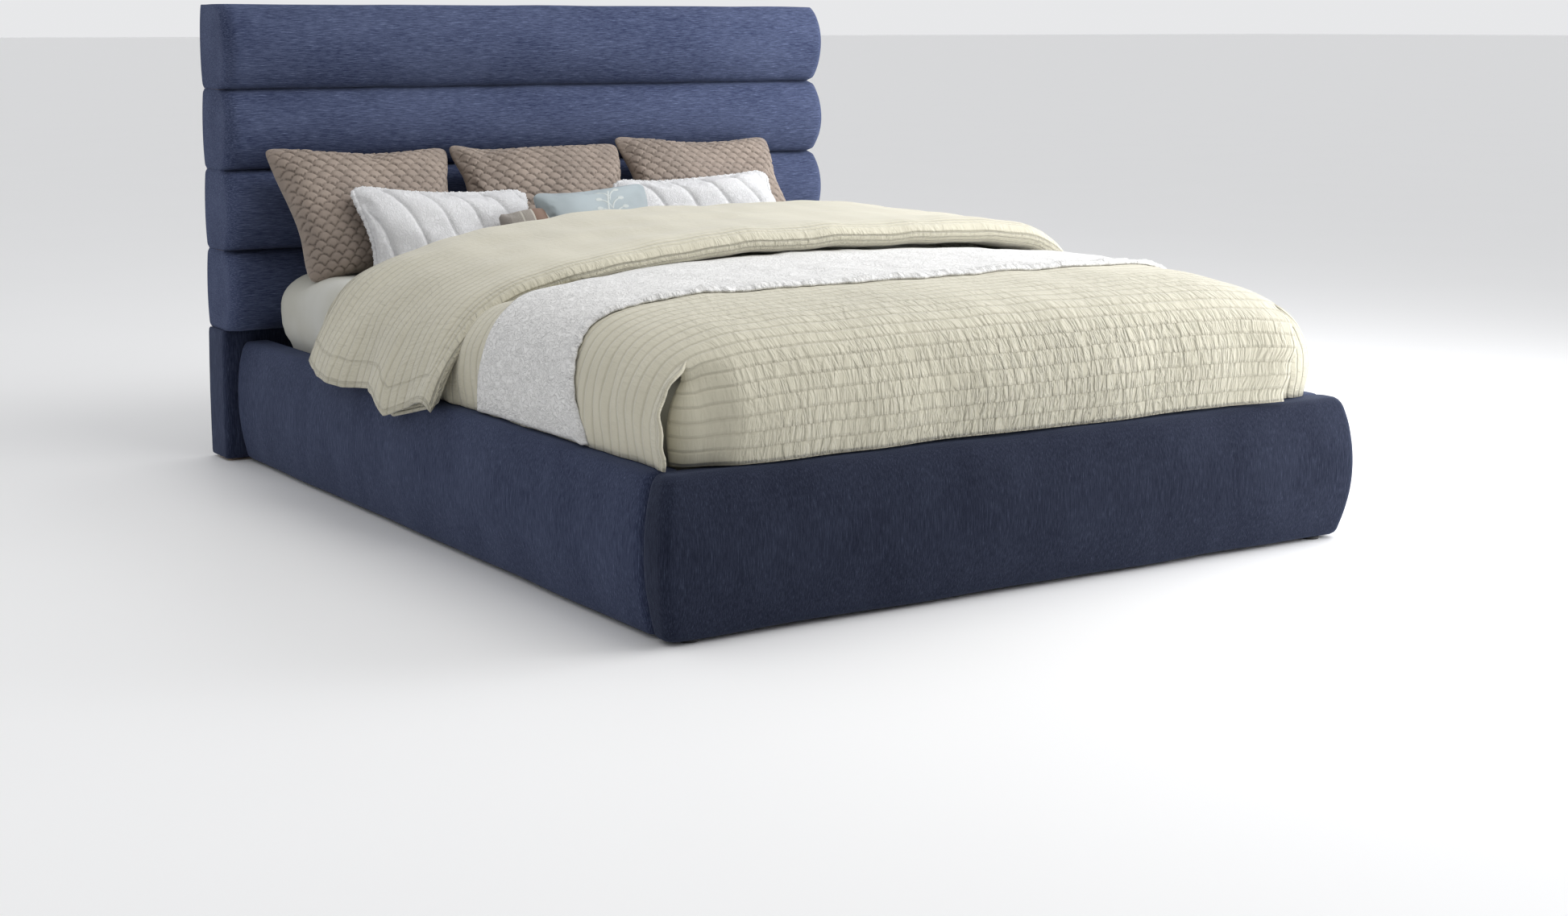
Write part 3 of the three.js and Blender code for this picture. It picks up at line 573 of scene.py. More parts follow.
def rail_section():
    """The padded rail's section from the bottom edge, over its bulging face, to the top edge."""
    control = [(0.0, 0.006), (0.030, 0.006), (0.047, 0.0068), (0.0575, 0.013), (0.0630, 0.030), (0.0705, 0.062),
               (0.0775, 0.105), (0.0805, 0.150), (0.0795, 0.195), (0.0745, 0.240), (0.0675, 0.273), (0.0610, 0.291),
               (0.0500, 0.3015), (0.030, 0.303), (0.0, 0.303)]
    return spline(control, count=56)[0]


class BED_OT_side_rails(bpy.types.Operator):
    """Builds the two padded side rails"""

    bl_idname = "bed.side_rails"
    bl_label = "Side rails"

    def execute(self, context):
        look = context.scene.bed_upholstery
        # painted light: the rails get a lighter copy of the chenille, scaled by 1.10
        cloth = chenille("chenille_upright_painted_light", "z", 1.10)
        section = rail_section()
        for name, sign in (("left", -1), ("right", 1)):
            node = "side_rail_pad_" + name
            low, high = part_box(node)
            board_low, board_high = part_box("side_rail_board_" + name)
            inner = min(abs(low.x), abs(high.x))
            y = np.concatenate([low.y + 0.02 * (1 - np.cos(np.linspace(0, math.pi / 2, 9)))[:-1],
                                np.linspace(low.y + 0.02, high.y - 0.03, 150),
                                high.y - 0.03 * (1 - np.sin(np.linspace(0, math.pi / 2, 9)))[1:]])
            rings, middle = [], np.array([0.04, 0.155])
            for place in y:
                near = min((high.y - place) / 0.03, 1.0)
                pull = 0.016 * (1 - math.sqrt(max(0.0, 1 - (1 - near) ** 2)))
                near = min((place - low.y) / 0.02, 1.0)
                pull = max(pull, 0.023 * (1 - math.sqrt(max(0.0, 1 - (1 - near) ** 2))))
                ring = section.copy()
                out = smooth(ring[:, 0], 0.03, 0.06)
                ring[:, 0] -= pull * out
                ring[:, 1] += (middle[1] - ring[:, 1]) * (pull * 0.35 / 0.15)
                rings.append(np.stack([sign * (inner + ring[:, 0]), np.full(len(ring), place), ring[:, 1]], 1))
            count = len(section)
            faces = grid_faces(len(rings), count, wrap=True)
            faces.append(tuple(range(count)))
            faces.append(tuple((len(rings) - 1) * count + i for i in reversed(range(count))))
            pad = make_object(node.replace("_pad_", "_cover_"), np.vstack(rings), faces)
            tidy(pad)
            ripple(pad, look.ripple * 1.3, 0.30, 40 + sign,
                   lambda co: smooth(np.abs(co[:, 0]), inner + 0.03, inner + 0.055))
            past_left, past_right = (0.05, BOARD_GAP) if sign > 0 else (BOARD_GAP, 0.05)
            hollow(pad, [board_low.x - past_left, board_low.y - 0.1, board_low.z - BOARD_GAP],
                   [board_high.x + past_right, board_high.y + 0.1, board_high.z + BOARD_GAP])
            shade(pad, 50)
            finish_piece(pad, "bed_frame", cloth, "navy_chenille", node)
        return {"FINISHED"}


class BED_OT_footboard(bpy.types.Operator):
    """Builds the padded footboard, which bulges at its front and ends"""

    bl_idname = "bed.footboard"
    bl_label = "Footboard"

    def execute(self, context):
        look = context.scene.bed_upholstery
        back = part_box("footboard_pad")[1].y
        board_low, board_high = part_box("footboard_board")
        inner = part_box("side_rail_board_right")[0].x
        rings = []
        for out, z in rail_section():
            if out < 0.030:
                continue
            across = outline(-inner - out, inner + out, back - out, back, 0.022, (150, 8, 14, 3))
            near = np.clip((back - across[:, 1]) / 0.018, 0, 1)
            turned_in = 0.018 * (1 - np.sqrt(1 - (1 - near) ** 2)) * (np.abs(across[:, 0]) > inner + 0.02)
            across[:, 0] -= np.sign(across[:, 0]) * turned_in
            level = np.full(len(across), z)
            front = smooth(back - across[:, 1], 0.02, 0.05)
            level += 0.0016 * waves(across[:, 0], across[:, 1], 0.35, 71) * smooth(z, 0.26, 0.303) * front
            rings.append((across, level))
        pad = stacked("footboard_cover", rings)
        ripple(pad, look.ripple * 1.4, 0.33, 61, lambda co: smooth(back - co[:, 1], 0.015, 0.05))
        hollow(pad, [board_low.x - BOARD_GAP, board_low.y - BOARD_GAP, board_low.z - BOARD_GAP],
               [board_high.x + BOARD_GAP, board_high.y + 0.05, board_high.z + BOARD_GAP])
        shade(pad, 50)
        # painted shade: the footboard gets a much darker copy of the chenille, scaled by 0.50, for the shade on its
        # front
        finish_piece(pad, "bed_frame", chenille("chenille_foot_painted_shade", "z", 0.50), "navy_chenille", "footboard_pad")
        return {"FINISHED"}


# --- mattress, quilt and runner --------------------------------------------


class BED_OT_mattress(bpy.types.Operator):
    """Builds the mattress in its fitted sheet"""

    bl_idname = "bed.mattress"
    bl_label = "Mattress"

    def execute(self, context):
        look = context.scene.bed_bedding
        low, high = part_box("mattress")
        half_x = high.x
        middle_y, half_y = (low.y + high.y) / 2, (high.y - low.y) / 2
        corner, edge = 0.12, 0.045

        def plan(shrink):
            hx, hy, r = half_x - shrink, half_y - shrink, max(corner - shrink * 0.6, 0.02)
            turn = np.linspace(0, math.pi / 2, 9)
            points = []
            for cx, cy, start, n, end in (
                (1, -1, -math.pi / 2, 60, (hx, hy - r)),
                (1, 1, 0, 46, (-hx + r, hy)),
                (-1, 1, math.pi / 2, 60, (-hx, -hy + r)),
                (-1, -1, math.pi, 46, (hx - r, -hy)),
            ):
                for a in turn:
                    points.append((cx * (hx - r) + r * math.cos(start + a), cy * (hy - r) + r * math.sin(start + a)))
                last = points[-1]
                for k in range(1, n):
                    points.append((last[0] + (end[0] - last[0]) * k / n, last[1] + (end[1] - last[1]) * k / n))
            ring = np.array(points)
            ring[:, 1] = np.clip(ring[:, 1], -half_y, half_y) + middle_y
            return ring

        rings = []
        sides = [(edge * (1 - math.sin(a)), low.z + edge * (1 - math.cos(a))) for a in np.linspace(0, math.pi / 2, 6)]
        sides += [(0.0, 0.27), (0.0, 0.300), (-0.006, 0.316), (-0.016, 0.334), (-0.022, 0.360), (-0.024, 0.390)]
        sides += [(-0.024 + 0.086 * (1 - math.cos(a)), 0.402 + (high.z - 0.402) * math.sin(a))
                  for a in np.linspace(0.1, math.pi / 2, 10)]
        sides += [(s, high.z) for s in (0.085, 0.12, 0.18, 0.28, 0.42, 0.6, 0.74)]
        for shrink, z in sides:
            ring = plan(shrink)
            level = np.full(len(ring), z)
            x, y = ring[:, 0], ring[:, 1]
            soft = 0.0012 * waves(x + z, y, 0.16, 5) + 0.0007 * waves(x * 3, y * 3 + z, 0.2, 6)
            level += soft - 0.0015
            rings.append((ring, np.maximum(level, low.z)))
        block = stacked("mattress_in_sheet", rings)
        shade(block)
        finish_piece(block, "mattress", cotton("sheet_cotton_plain", tuple(look.sheet)), "sheet_cotton", "mattress")
        return {"FINISHED"}


# Heights of the quilt: its lowest hem, the bed's top and the top of the part folded back.
HEM, TOP, FLAP_TOP = 0.305, 0.575, 0.634
# Where the quilt's foot corners open, (x, y) by side.
CORNERS = {-1: (0.738, -1.012), 1: (0.712, -0.998)}
# Spacing of the quilt's points along and across the bed.
STEP_ALONG, STEP_ACROSS = 0.0108, 0.0140


def body_across():
    """The quilt's section across the bed: (distance from the middle, drop)."""
    return [(0, 0), (0.3, 0.002), (0.5, 0.006), (0.62, 0.014), (0.69, 0.027), (0.735, 0.045), (0.77, 0.075),
            (0.795, 0.12), (0.807, 0.17), (0.806, 0.22), (0.799, TOP - HEM)]


def low_across():
    """The same section where the folded end presses it down."""
    return [(0, 0), (0.3, 0.010), (0.5, 0.034), (0.62, 0.058), (0.69, 0.069), (0.735, 0.084), (0.770, 0.112),
            (0.796, 0.150), (0.804, 0.19), (0.805, 0.23), (0.800, TOP - HEM)]


def flap_across(sign):
    """The section of the part folded back, at the left (-1) or the right (1)."""
    if sign < 0:
        return [(0, 0), (0.10, 0.002), (0.30, 0.018), (0.48, 0.042), (0.60, 0.068), (0.69, 0.099), (0.748, 0.134),
                (0.794, 0.182), (0.826, 0.236), (0.852, 0.292), (0.867, 0.340), (0.873, 0.385)]
    return [(0, 0), (0.10, 0.000), (0.35, 0.002), (0.55, 0.008), (0.67, 0.024), (0.74, 0.052), (0.79, 0.098),
            (0.825, 0.160), (0.848, 0.228), (0.862, 0.295), (0.869, 0.352)]


# The quilt's middle line over the foot end: (y, drop).
FOOT_DROP = [(0.0, 0.0), (-0.5, 0.002), (-0.75, 0.006), (-0.88, 0.014), (-0.96, 0.028), (-1.01, 0.046),
             (-1.05, 0.078), (-1.078, 0.125), (-1.090, 0.17), (-1.091, 0.22), (-1.086, 0.267)]


def quilt_path():
    """The quilt's middle line as (y, lift, layer), from the top of its foot drop to the tucked end of its fold.

    Layer is 0 on the bed and 1 in the part folded back over it."""
    y0 = CORNERS[-1][1]
    return [(y0, 0, 0), (-0.96, 0, 0), (-0.8, 0, 0), (-0.5, 0, 0), (-0.2, 0, 0), (0.1, 0, 0), (0.3, 0, 0), (0.43, 0, 0),
            (0.468, 0.010, 0.15), (0.484, 0.030, 0.5), (0.468, 0.050, 0.85), (0.43, 0.059, 1), (0.3, 0.059, 1),
            (0.1, 0.057, 1), (-0.05, 0.057, 1), (-0.145, 0.059, 1), (-0.196, 0.052, 1), (-0.219, 0.034, 0.98),
            (-0.206, 0.017, 0.90), (-0.15, 0.011, 0.84), (-0.05, 0.010, 0.84), (0.02, 0.010, 0.84)]


class BED_OT_quilt(bpy.types.Operator):
    """Builds the quilt as one sheet, its foot corners open and its head end turned down"""

    bl_idname = "bed.quilt"
    bl_label = "Quilt"

    def execute(self, context):
        look = context.scene.bed_bedding
        obj = build_quilt()
        apply_modifier(obj, "SOLIDIFY", thickness=look.quilt_thickness, offset=-1.0, use_even_offset=False)
        tidy(obj, 1e-6)
        shade(obj)
        finish_piece(obj, "mattress", quilted_cotton(), "quilt_cotton", "quilt")
        return {"FINISHED"}


def sample(control, lengths):
    """Points on a section at these lengths from its start, and its whole length."""
    fine, run = spline(control, count=400)
    return np.stack([np.interp(lengths, run, fine[:, 0]), np.interp(lengths, run, fine[:, 1])], -1), run[-1]


def both_drops(across, along):
    """Height on the bed from the drop at the side and the drop at the foot."""
    return TOP - (across + along - across * along / (TOP - HEM))


def body_section(u, y, reach):
    """x and drop of the quilt lying on the bed at the places u (-1 to 1 across) of one row, or of many rows."""
    x, drop = np.zeros(np.broadcast(u, y).shape), np.zeros(np.broadcast(u, y).shape)
    free, _ = sample(body_across(), np.abs(u) * reach)
    low, _ = sample(low_across(), np.abs(u) * reach)
    amount = smooth(y, -0.42, -0.12) * np.where(u < 0, 1.0, 0.55)
    x = np.sign(u) * (free[..., 0] * (1 - amount) + low[..., 0] * amount)
    drop = free[..., 1] * (1 - amount) + low[..., 1] * amount
    return x, drop


def ripples(x, y, u):
    """Slow ripples on the quilt's top, which fade out at its sides."""
    return 0.0024 * waves(x, y, 0.22, 33) * (1 - smooth(np.abs(u), 0.75, 0.95))


def build_quilt():
    """The quilt as one thin sheet: the bed and the fold, then the foot drop, then what passes the corners."""
    width = sample(body_across(), np.array([0.0]))[1]
    half = int(round(width / STEP_ACROSS))
    u = np.arange(-half, half + 1) / half
    path, run = spline(quilt_path(), step=STEP_ALONG)
    roll = run[int(np.argmin(np.where(path[:, 2] > 0.9, path[:, 0], 9)))]
    foot, _ = spline(FOOT_DROP, count=500)
    edge = np.abs(u)
    points, uvs, values = [], [], {"crush": [], "hem": [], "pleat": []}

    def add(part, place, crush, hem, pleat):
        points.append(part)
        uvs.append(place)
        for key, data in (("crush", crush), ("hem", hem), ("pleat", pleat)):
            values[key].append(np.broadcast_to(data, len(part)))

    for k, (y, lift, layer) in enumerate(path):
        layer = float(np.clip(layer, 0, 1))
        x, drop = body_section(u, y, width)
        foot_drop = float(np.interp(-y, -foot[:, 0], foot[:, 1])) if layer < 0.01 else 0.0
        z = both_drops(drop, foot_drop) + lift
        ys = np.full(len(u), float(y))
        crush = 0.16 + 0.5 * float(smooth(-y, 0.55, 0.95)) * (1 - smooth(edge, 0.55, 0.75))
        hem = np.ones(len(u))
        pleat = np.ones(len(u))
        if layer > 0.01:
            hem = width * (1 - edge) + 0.004
            hem_z = float(np.interp(y, [-0.21, -0.10, 0.0, 0.06, 0.10, 0.25, 0.40, 0.49],
                                    [0.322, 0.292, 0.262, 0.298, 0.305, 0.290, 0.300, 0.330]))
            for sign in (-1, 1):
                side = u < 0 if sign < 0 else u >= 0
                control = flap_across(sign)
                fine, length_at = spline(control, count=400)
                reach = length_at[-1] if sign > 0 else float(np.interp(FLAP_TOP - hem_z, fine[:, 1], length_at))
                reach -= 0.035 * float(smooth(run[k], roll - 0.004, roll + 0.03))
                flap = sample(control, edge[side] * reach)[0]
                x[side] = x[side] * (1 - layer) + layer * sign * flap[:, 0]
                z[side] = z[side] * (1 - layer) + layer * (TOP + lift - flap[:, 1])
            low = smooth(edge, 0.80, 1.0)
            shift = np.where(u < 0, 0.020, -0.02) * smooth(edge, 0.45, 0.75)
            ys = ys + shift * layer * float(smooth(-y, -0.25, 0.2))
            flare = 0.010 * math.sin(ys.mean() * 24 + 0.5) + 0.016 * float(smooth(y, 0.2, 0.45))
            flare = np.where(u < 0, 1.0, 0.4) * low * flare
            x = x + np.sign(u) * layer * flare
            z = z + layer * 0.0035 * waves(x, ys, 0.17, 31) * (1 - low)
            near = math.exp(-((run[k] - roll) / 0.05) ** 2)
            crush = 0.10 + 0.5 * near + 0.2 * smooth(edge, 0.6, 0.8)
            if run[k] < roll:
                hem = np.minimum(hem, roll - run[k])
            by_edge = 0.9 * math.exp(-((run[k] - roll) / 0.11) ** 2)
            pleat = pleat * np.maximum(0.12 + 0.88 * smooth(edge, 0.52, 0.72), by_edge)
        else:
            z = z + ripples(x, y, u)
        x = x + np.sign(u) * 0.003 * waves(ys + layer, z, 0.11, 35) * smooth(edge, 0.7, 0.9)
        x = x - 0.026 * float(smooth(-y, 0.84, 1.0)) * smooth(u, 0.66, 0.9)
        add(np.stack([x, ys, z], 1), np.stack([u * width, np.full(len(u), run[k])], 1), crush, hem, pleat)
    rows, columns = len(path), len(u)
    faces = grid_faces(rows, columns)
    start = rows * columns
    first = points[0].copy()
    first_y = path[0][0]
    first_drop = body_section(u, first_y, width)[1]
    head_drop = float(np.interp(-first_y, -foot[:, 0], foot[:, 1]))

    # The foot drop. Its left end goes round the corner inside the side drop; its right end is a free, slanting edge.
    tail = np.vstack([[first_y, head_drop], foot[foot[:, 0] < first_y - 1e-3][:: 12], foot[-1:]])
    drop_line, drop_run = spline(tail, step=STEP_ALONG)
    left_x, right_x = -CORNERS[-1][0], CORNERS[1][0]
    inside = [i for i in range(columns) if left_x <= first[i, 0] <= right_x]
    wrap = np.linspace(1, 0, 10)[:-1]
    base_x, base_z = first[inside, 0], first[inside, 2]
    offset = base_z - both_drops(first_drop[inside], head_drop)
    side_u = np.concatenate([base_x[0] - 0.012 * np.arange(len(wrap), 0, -1), base_x])
    for k, (y, drop) in enumerate(drop_line):
        reach = first_y - y
        down = float(smooth(drop_run[k], 0.0, drop_run[-1]))
        slant = 0.055 * down + 0.004 * math.sin(drop_run[k] * 90) * min(1, drop_run[k] / 0.03)
        x_row = base_x - slant * smooth(base_x, 0.42, right_x)
        z_row = both_drops(first_drop[inside], drop) + offset * (1 - smooth(reach, 0.0, 0.06))
        z_row = z_row + 0.0015 * waves(x_row, 0 * x_row, 0.4, 43) * smooth(drop_run[k], 0.15, drop_run[-1])
        y_row = y + 0.005 * waves(x_row, z_row * 1.6, 0.30, 41) * smooth(reach, 0.02, 0.07)
        y_row = y_row - 0.018 * smooth(x_row, 0.50, 0.65) * smooth(drop_run[k], 0.01, 0.09)
        tuck = smooth(-x_row, 0.655, 0.740) * float(smooth(drop_run[k], 0.012, 0.07))
        y_row = y_row + 0.030 * tuck
        turn = wrap * math.radians(80)
        inner = max(reach - 0.034 * float(smooth(drop_run[k], 0.012, 0.07)), 0.0)
        part = np.stack([
            np.concatenate([x_row[0] - inner * np.sin(turn), x_row]),
            np.concatenate([first_y - inner * np.cos(turn) + (y_row[0] - first_y + inner) * (1 - wrap), y_row]),
            np.concatenate([np.full(len(wrap), z_row[0]), z_row]),
        ], 1)
        crush = (0.45 + 0.75 * smooth(drop_run[k], 0.0, 0.08)) * smooth(side_u, -0.76, -0.50)
        crush = crush * (1 - 0.5 * smooth(side_u, 0.2, 0.6)) + 0.10
        hem = side_u[-1] - side_u + 0.004
        hem = np.where(hem < 0.03, hem, 1.0)
        add(part, np.stack([side_u, np.full(len(part), -drop_run[k])], 1), crush, hem, 1.0)
    faces += [tuple(reversed(f)) for f in grid_faces(len(drop_line), len(side_u), start)]
    start += len(drop_line) * len(side_u)

    # The side drops past the corner: flat at the left, rounded and tucked behind the foot drop at the right.
    for sign in (-1, 1):
        centre = base_x[0] if sign < 0 else base_x[-1]
        members = [i for i in range(columns) if sign * first[i, 0] >= abs(centre) - 1e-9 and sign * u[i] > 0.4]
        members = sorted(members, key=lambda i: edge[i])
        column = first[members]
        r_col = np.abs(column[:, 0]) - abs(centre)
        fall = first_drop[members]
        steps = np.linspace(0, 1, 9 if sign < 0 else 22)
        for s in steps:
            if sign < 0:
                ahead = s * (0.026 + 0.026 * smooth(fall, 0.03, 0.25) + 0.005 * np.sin(fall * 40))
                ahead = ahead * smooth(r_col, 0.0, 0.03)
                x_col = column[:, 0] - 0.010 * s * smooth(r_col, 0.01, 0.05)
                y_col = column[:, 1] - ahead
                far = 0.05
            else:
                far = 0.24
                passed = s * (0.5 * math.pi * 0.095 + 0.09)
                turn = min(passed / 0.095, math.pi / 2)
                past = max(passed - 0.5 * math.pi * 0.095, 0.0)
                shrink = 1 - 0.26 * float(smooth(turn, 0.25, 1.2))
                full = 1 + 0.10 * math.sin(2 * turn) * smooth(r_col, 0.02, 0.09)
                x_col = abs(centre) + r_col * shrink * full * math.cos(turn) - past * smooth(r_col, 0.0, 0.05)
                y_col = column[:, 1] - r_col * shrink * full * math.sin(turn)
            sunk = 0.0 if sign < 0 else 0.022 * float(smooth(s, 0.12, 0.6)) * (1 - smooth(fall, 0.04, 0.16))
            x_col = x_col + sign * 0.0025 * s * np.sin(fall * 95)
            part = np.stack([x_col, y_col, column[:, 2] - sunk + 0.0015 * np.sin(fall * 60 + s * 5) * s], 1)
            hem = (1 - s) * far + 0.002 if sign < 0 and (1 - s) * far < 0.03 else 1.0
            add(part, np.stack([u[members] * width, np.full(len(part), -s * far)], 1), 0.25, hem, 1.0)
        turned = grid_faces(len(steps), len(members), start)
        faces += turned if sign < 0 else [tuple(reversed(f)) for f in turned]
        start += len(steps) * len(members)
    values = {key: np.concatenate(data) for key, data in values.items()}
    obj = make_object("quilt_sheet", np.vstack(points), faces, np.vstack(uvs), values)
    tidy(obj, 3e-5)
    bm = bmesh.new()
    bm.from_mesh(obj.data)
    top = sum(f.normal.z * f.calc_area() for f in bm.faces if abs(f.calc_center_median().y + 0.6) < 0.2)
    if top < 0:
        bmesh.ops.reverse_faces(bm, faces=bm.faces)
    bm.to_mesh(obj.data)
    bm.free()
    return obj


class BED_OT_runner(bpy.types.Operator):
    """Builds the woven runner across the bed"""

    bl_idname = "bed.runner"
    bl_label = "Runner"

    def execute(self, context):
        look = context.scene.bed_bedding
        total = sample(body_across(), np.array([0.0]))[1]
        foot, _ = spline(FOOT_DROP, count=500)
        rows, columns = 84, 321
        line = np.linspace(-1, 1, columns)
        run = line * total
        foot_edge = np.interp(run, [-total, -0.86, -0.76, -0.6, -0.3, 0, 0.4, 0.76, 0.86, total],
                              [-0.775, -0.715, -0.685, -0.692, -0.715, -0.730, -0.708, -0.660, -0.660, -0.70])
        head_edge = np.interp(run, [-total, -0.86, -0.76, -0.62, -0.5, 0, 0.5, 0.8, total],
                              [-0.30, -0.335, -0.335, -0.27, -0.215, -0.205, -0.205, -0.215, -0.30])
        kernel = np.ones(7) / 7
        foot_edge = np.convolve(np.pad(foot_edge, 3, "edge"), kernel, "valid")
        head_edge = np.convolve(np.pad(head_edge, 3, "edge"), kernel, "valid")
        t = np.linspace(0, 1, rows)[:, None] ** 1.15
        y = foot_edge + (head_edge - foot_edge) * t
        u = np.broadcast_to(line, y.shape)
        x, drop = body_section(u, y, total - 0.006)
        z = both_drops(drop, np.interp(-y, -foot[:, 0], foot[:, 1])) + ripples(x, y, u)
        base = np.stack([x, y, z], -1)
        normal = np.cross(np.gradient(base, axis=1), np.gradient(base, axis=0))
        normal /= np.linalg.norm(normal, axis=-1, keepdims=True)
        normal *= np.sign(normal[rows // 2, columns // 2, 2])
        band = np.exp(-(((t - 0.02) / 0.055) ** 2)) + np.zeros_like(x)
        rolled = np.exp(-((t / 0.012) ** 2))
        lift = 0.0022 + 0.0010 * (1 + waves(x, y, 0.09, 51)) + 0.0038 * band * (1 + waves(run, y * 0.15, 0.016, 53))
        lift = lift * (1 - 0.9 * rolled) + look.runner_thickness / 2
        place = base + normal * lift[..., None]
        place[..., 1] += 0.0035 * band * waves(x + z, 0.2 * y, 0.035, 57)
        obj = make_object("runner_sheet", place.reshape(-1, 3), grid_faces(rows, columns),
                          np.stack([u * total, y], -1).reshape(-1, 2), {"crush": band.ravel()})
        apply_modifier(obj, "SOLIDIFY", thickness=look.runner_thickness, offset=0.0)
        tidy(obj, 1e-6)
        shade(obj)
        cloth = jacquard("runner_weave", tuple(look.runner), size=95.0, strength=1.3, sheen=0.15)
        finish_piece(obj, "mattress", cloth, "runner_jacquard", "runner")
        return {"FINISHED"}


# --- pillows ---------------------------------------------------------------


# Stuffing: the cloth's pressure, how many frames it swells for and how full the cover is before it.
PRESSURE, SWELL_FRAMES, SLACK = 4.0, 20, 0.80
LEAN = 60  # degrees that the pillows lean back


def swell(obj, cap):
    """Stuffs a closed cover: a short cloth simulation under pressure, no point moving further than cap."""
    scene = bpy.context.scene
    before = points_of(obj)
    pick(obj)
    bpy.ops.object.modifier_add(type="CLOTH")
    cloth = obj.modifiers[-1]
    cloth.settings.use_pressure = True
    cloth.settings.uniform_pressure_force = PRESSURE
    cloth.settings.effector_weights.gravity = 0
    cloth.settings.quality = 5
    cloth.settings.tension_stiffness = 25
    cloth.settings.compression_stiffness = 25
    cloth.settings.bending_stiffness = 0.2
    for step in range(1, SWELL_FRAMES + 1):
        scene.frame_set(step)
    bpy.ops.object.modifier_apply(modifier=cloth.name)
    scene.frame_set(1)
    move = points_of(obj) - before
    far = np.maximum(np.linalg.norm(move, axis=1, keepdims=True), 1e-9)
    obj.data.vertices.foreach_set("co", (before + move * (cap * np.tanh(far / cap) / far)).ravel())
    obj.data.update()


def pillow_grid(size, columns, rows, pull, full, corners, seed, slack):
    """A stuffed pillow lying flat: its points, faces, rim, and where each point lies on the cloth.

    Corners moves each corner (x, y, z), keyed by its signs. Slack is how full it is before it is stuffed."""
    width, height, thickness = size
    a, b = (0.25 * np.sin(t * math.pi / 2) + 0.75 * t for t in (np.linspace(-1, 1, columns), np.linspace(-1, 1, rows)))
    u, v = np.meshgrid(a, b)
    x = width / 2 * u * (1 - pull * (1 - v**2) * np.abs(u))
    y = height / 2 * v * (1 - pull * (1 - u**2) * np.abs(v))
    across, up = x.copy(), y.copy()
    blunt = 0.012 * (np.abs(u) * np.abs(v)) ** 14
    x, y = x - np.sign(u) * blunt, y - np.sign(v) * blunt
    rim = np.clip((1 - np.abs(u) ** 2.4) * (1 - np.abs(v) ** 2.4), 0, 1)
    z = thickness / 2 * rim**full * (1 - 0.12 * v) * slack * (1 + 0.10 * waves(u, v, 0.8, seed + 1))
    bent = 0.10 * thickness * waves(u, v, 1.6, seed)
    for (su, sv), move in (corners or {}).items():
        weight = ((1 + su * u) / 2) ** 1.6 * ((1 + sv * v) / 2) ** 1.6
        x, y, bent = x + move[0] * weight, y + move[1] * weight, bent + move[2] * weight
    front = np.arange(rows * columns).reshape(rows, columns)
    inner = np.zeros((rows, columns), bool)
    inner[1:-1, 1:-1] = True
    back = front.copy()
    back[inner] = rows * columns + np.arange(inner.sum())
    points = np.vstack([np.stack([x, y, z + bent], -1).reshape(-1, 3), np.stack([x, y, bent - z], -1)[inner]])
    faces = []
    for j in range(rows - 1):
        for i in range(columns - 1):
            faces.append((front[j, i], front[j, i + 1], front[j + 1, i + 1], front[j + 1, i]))
            faces.append((back[j + 1, i], back[j + 1, i + 1], back[j, i + 1], back[j, i]))
    places = {
        "across": np.concatenate([across.ravel(), across[inner]]),
        "up": np.concatenate([up.ravel(), up[inner]]),
        "rim": np.concatenate([rim.ravel(), rim[inner]]),
        "ahead": np.concatenate([np.ones(rows * columns), np.zeros(inner.sum())]),
    }
    border = np.concatenate([front[0, :], front[1:, -1], front[-1, -2::-1], front[-2:0:-1, 0]])
    return points, [tuple(int(k) for k in face) for face in faces], places, border


def make_pillow(name, size, matrix, columns, rows, relief=None, values=None, edge=None, pull=0.05, full=0.42,
                corners=None, seed=1, cap=0.016):
    """A pillow: stuffed, smoothed once, then given its stitching along its own face."""
    slack = SLACK
    points, faces, places, border = pillow_grid(size, columns, rows, pull, full, corners, seed, slack)
    cover = make_object(name + "_cover", points, faces, None, places)
    swell(cover, cap)
    rim_line = points_of(cover)[border]
    apply_modifier(cover, "SUBSURF", levels=1, render_levels=1)
    mesh = cover.data
    places = {}
    for key in ("across", "up", "rim", "ahead"):
        places[key] = np.zeros(len(mesh.vertices), np.float32)
        mesh.attributes[key].data.foreach_get("value", places[key])
    across, up, ahead = places["across"], places["up"], places["ahead"]
    points = points_of(cover)
    if relief:
        raised = relief(across, up) * smooth(places["rim"], 0.0, 0.12) * ahead
        points = points + normals_of(cover) * raised[:, None]
    faces = [tuple(face.vertices) for face in mesh.polygons]
    uvs = np.stack([across + 2 * (ahead < 0.5), up], 1)
    extra = {key: fn(across, up) * ahead for key, fn in (values or {}).items()}
    bpy.data.objects.remove(cover)
    if edge:
        points, faces, uvs, extra = edge(rim_line, points, faces, uvs, extra)
    world = np.array(matrix)
    obj = make_object(name, points @ world[:3, :3].T + world[:3, 3], faces, uvs, extra)
    tidy(obj, 1e-6)
    shade(obj)
    return obj


def standing(node, turn=0.0, roll=0.0, move=(0, 0, 0)):
    """Where a pillow stands: the middle of its CAD node, leaning back, turned about Z and rolled in its plane."""
    low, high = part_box(node)
    middle = (low + high) / 2 + Vector(move)
    return (Matrix.Translation(middle) @ Matrix.Rotation(math.radians(turn), 4, "Z")
            @ Matrix.Rotation(math.radians(LEAN), 4, "X") @ Matrix.Rotation(math.radians(roll), 4, "Z"))


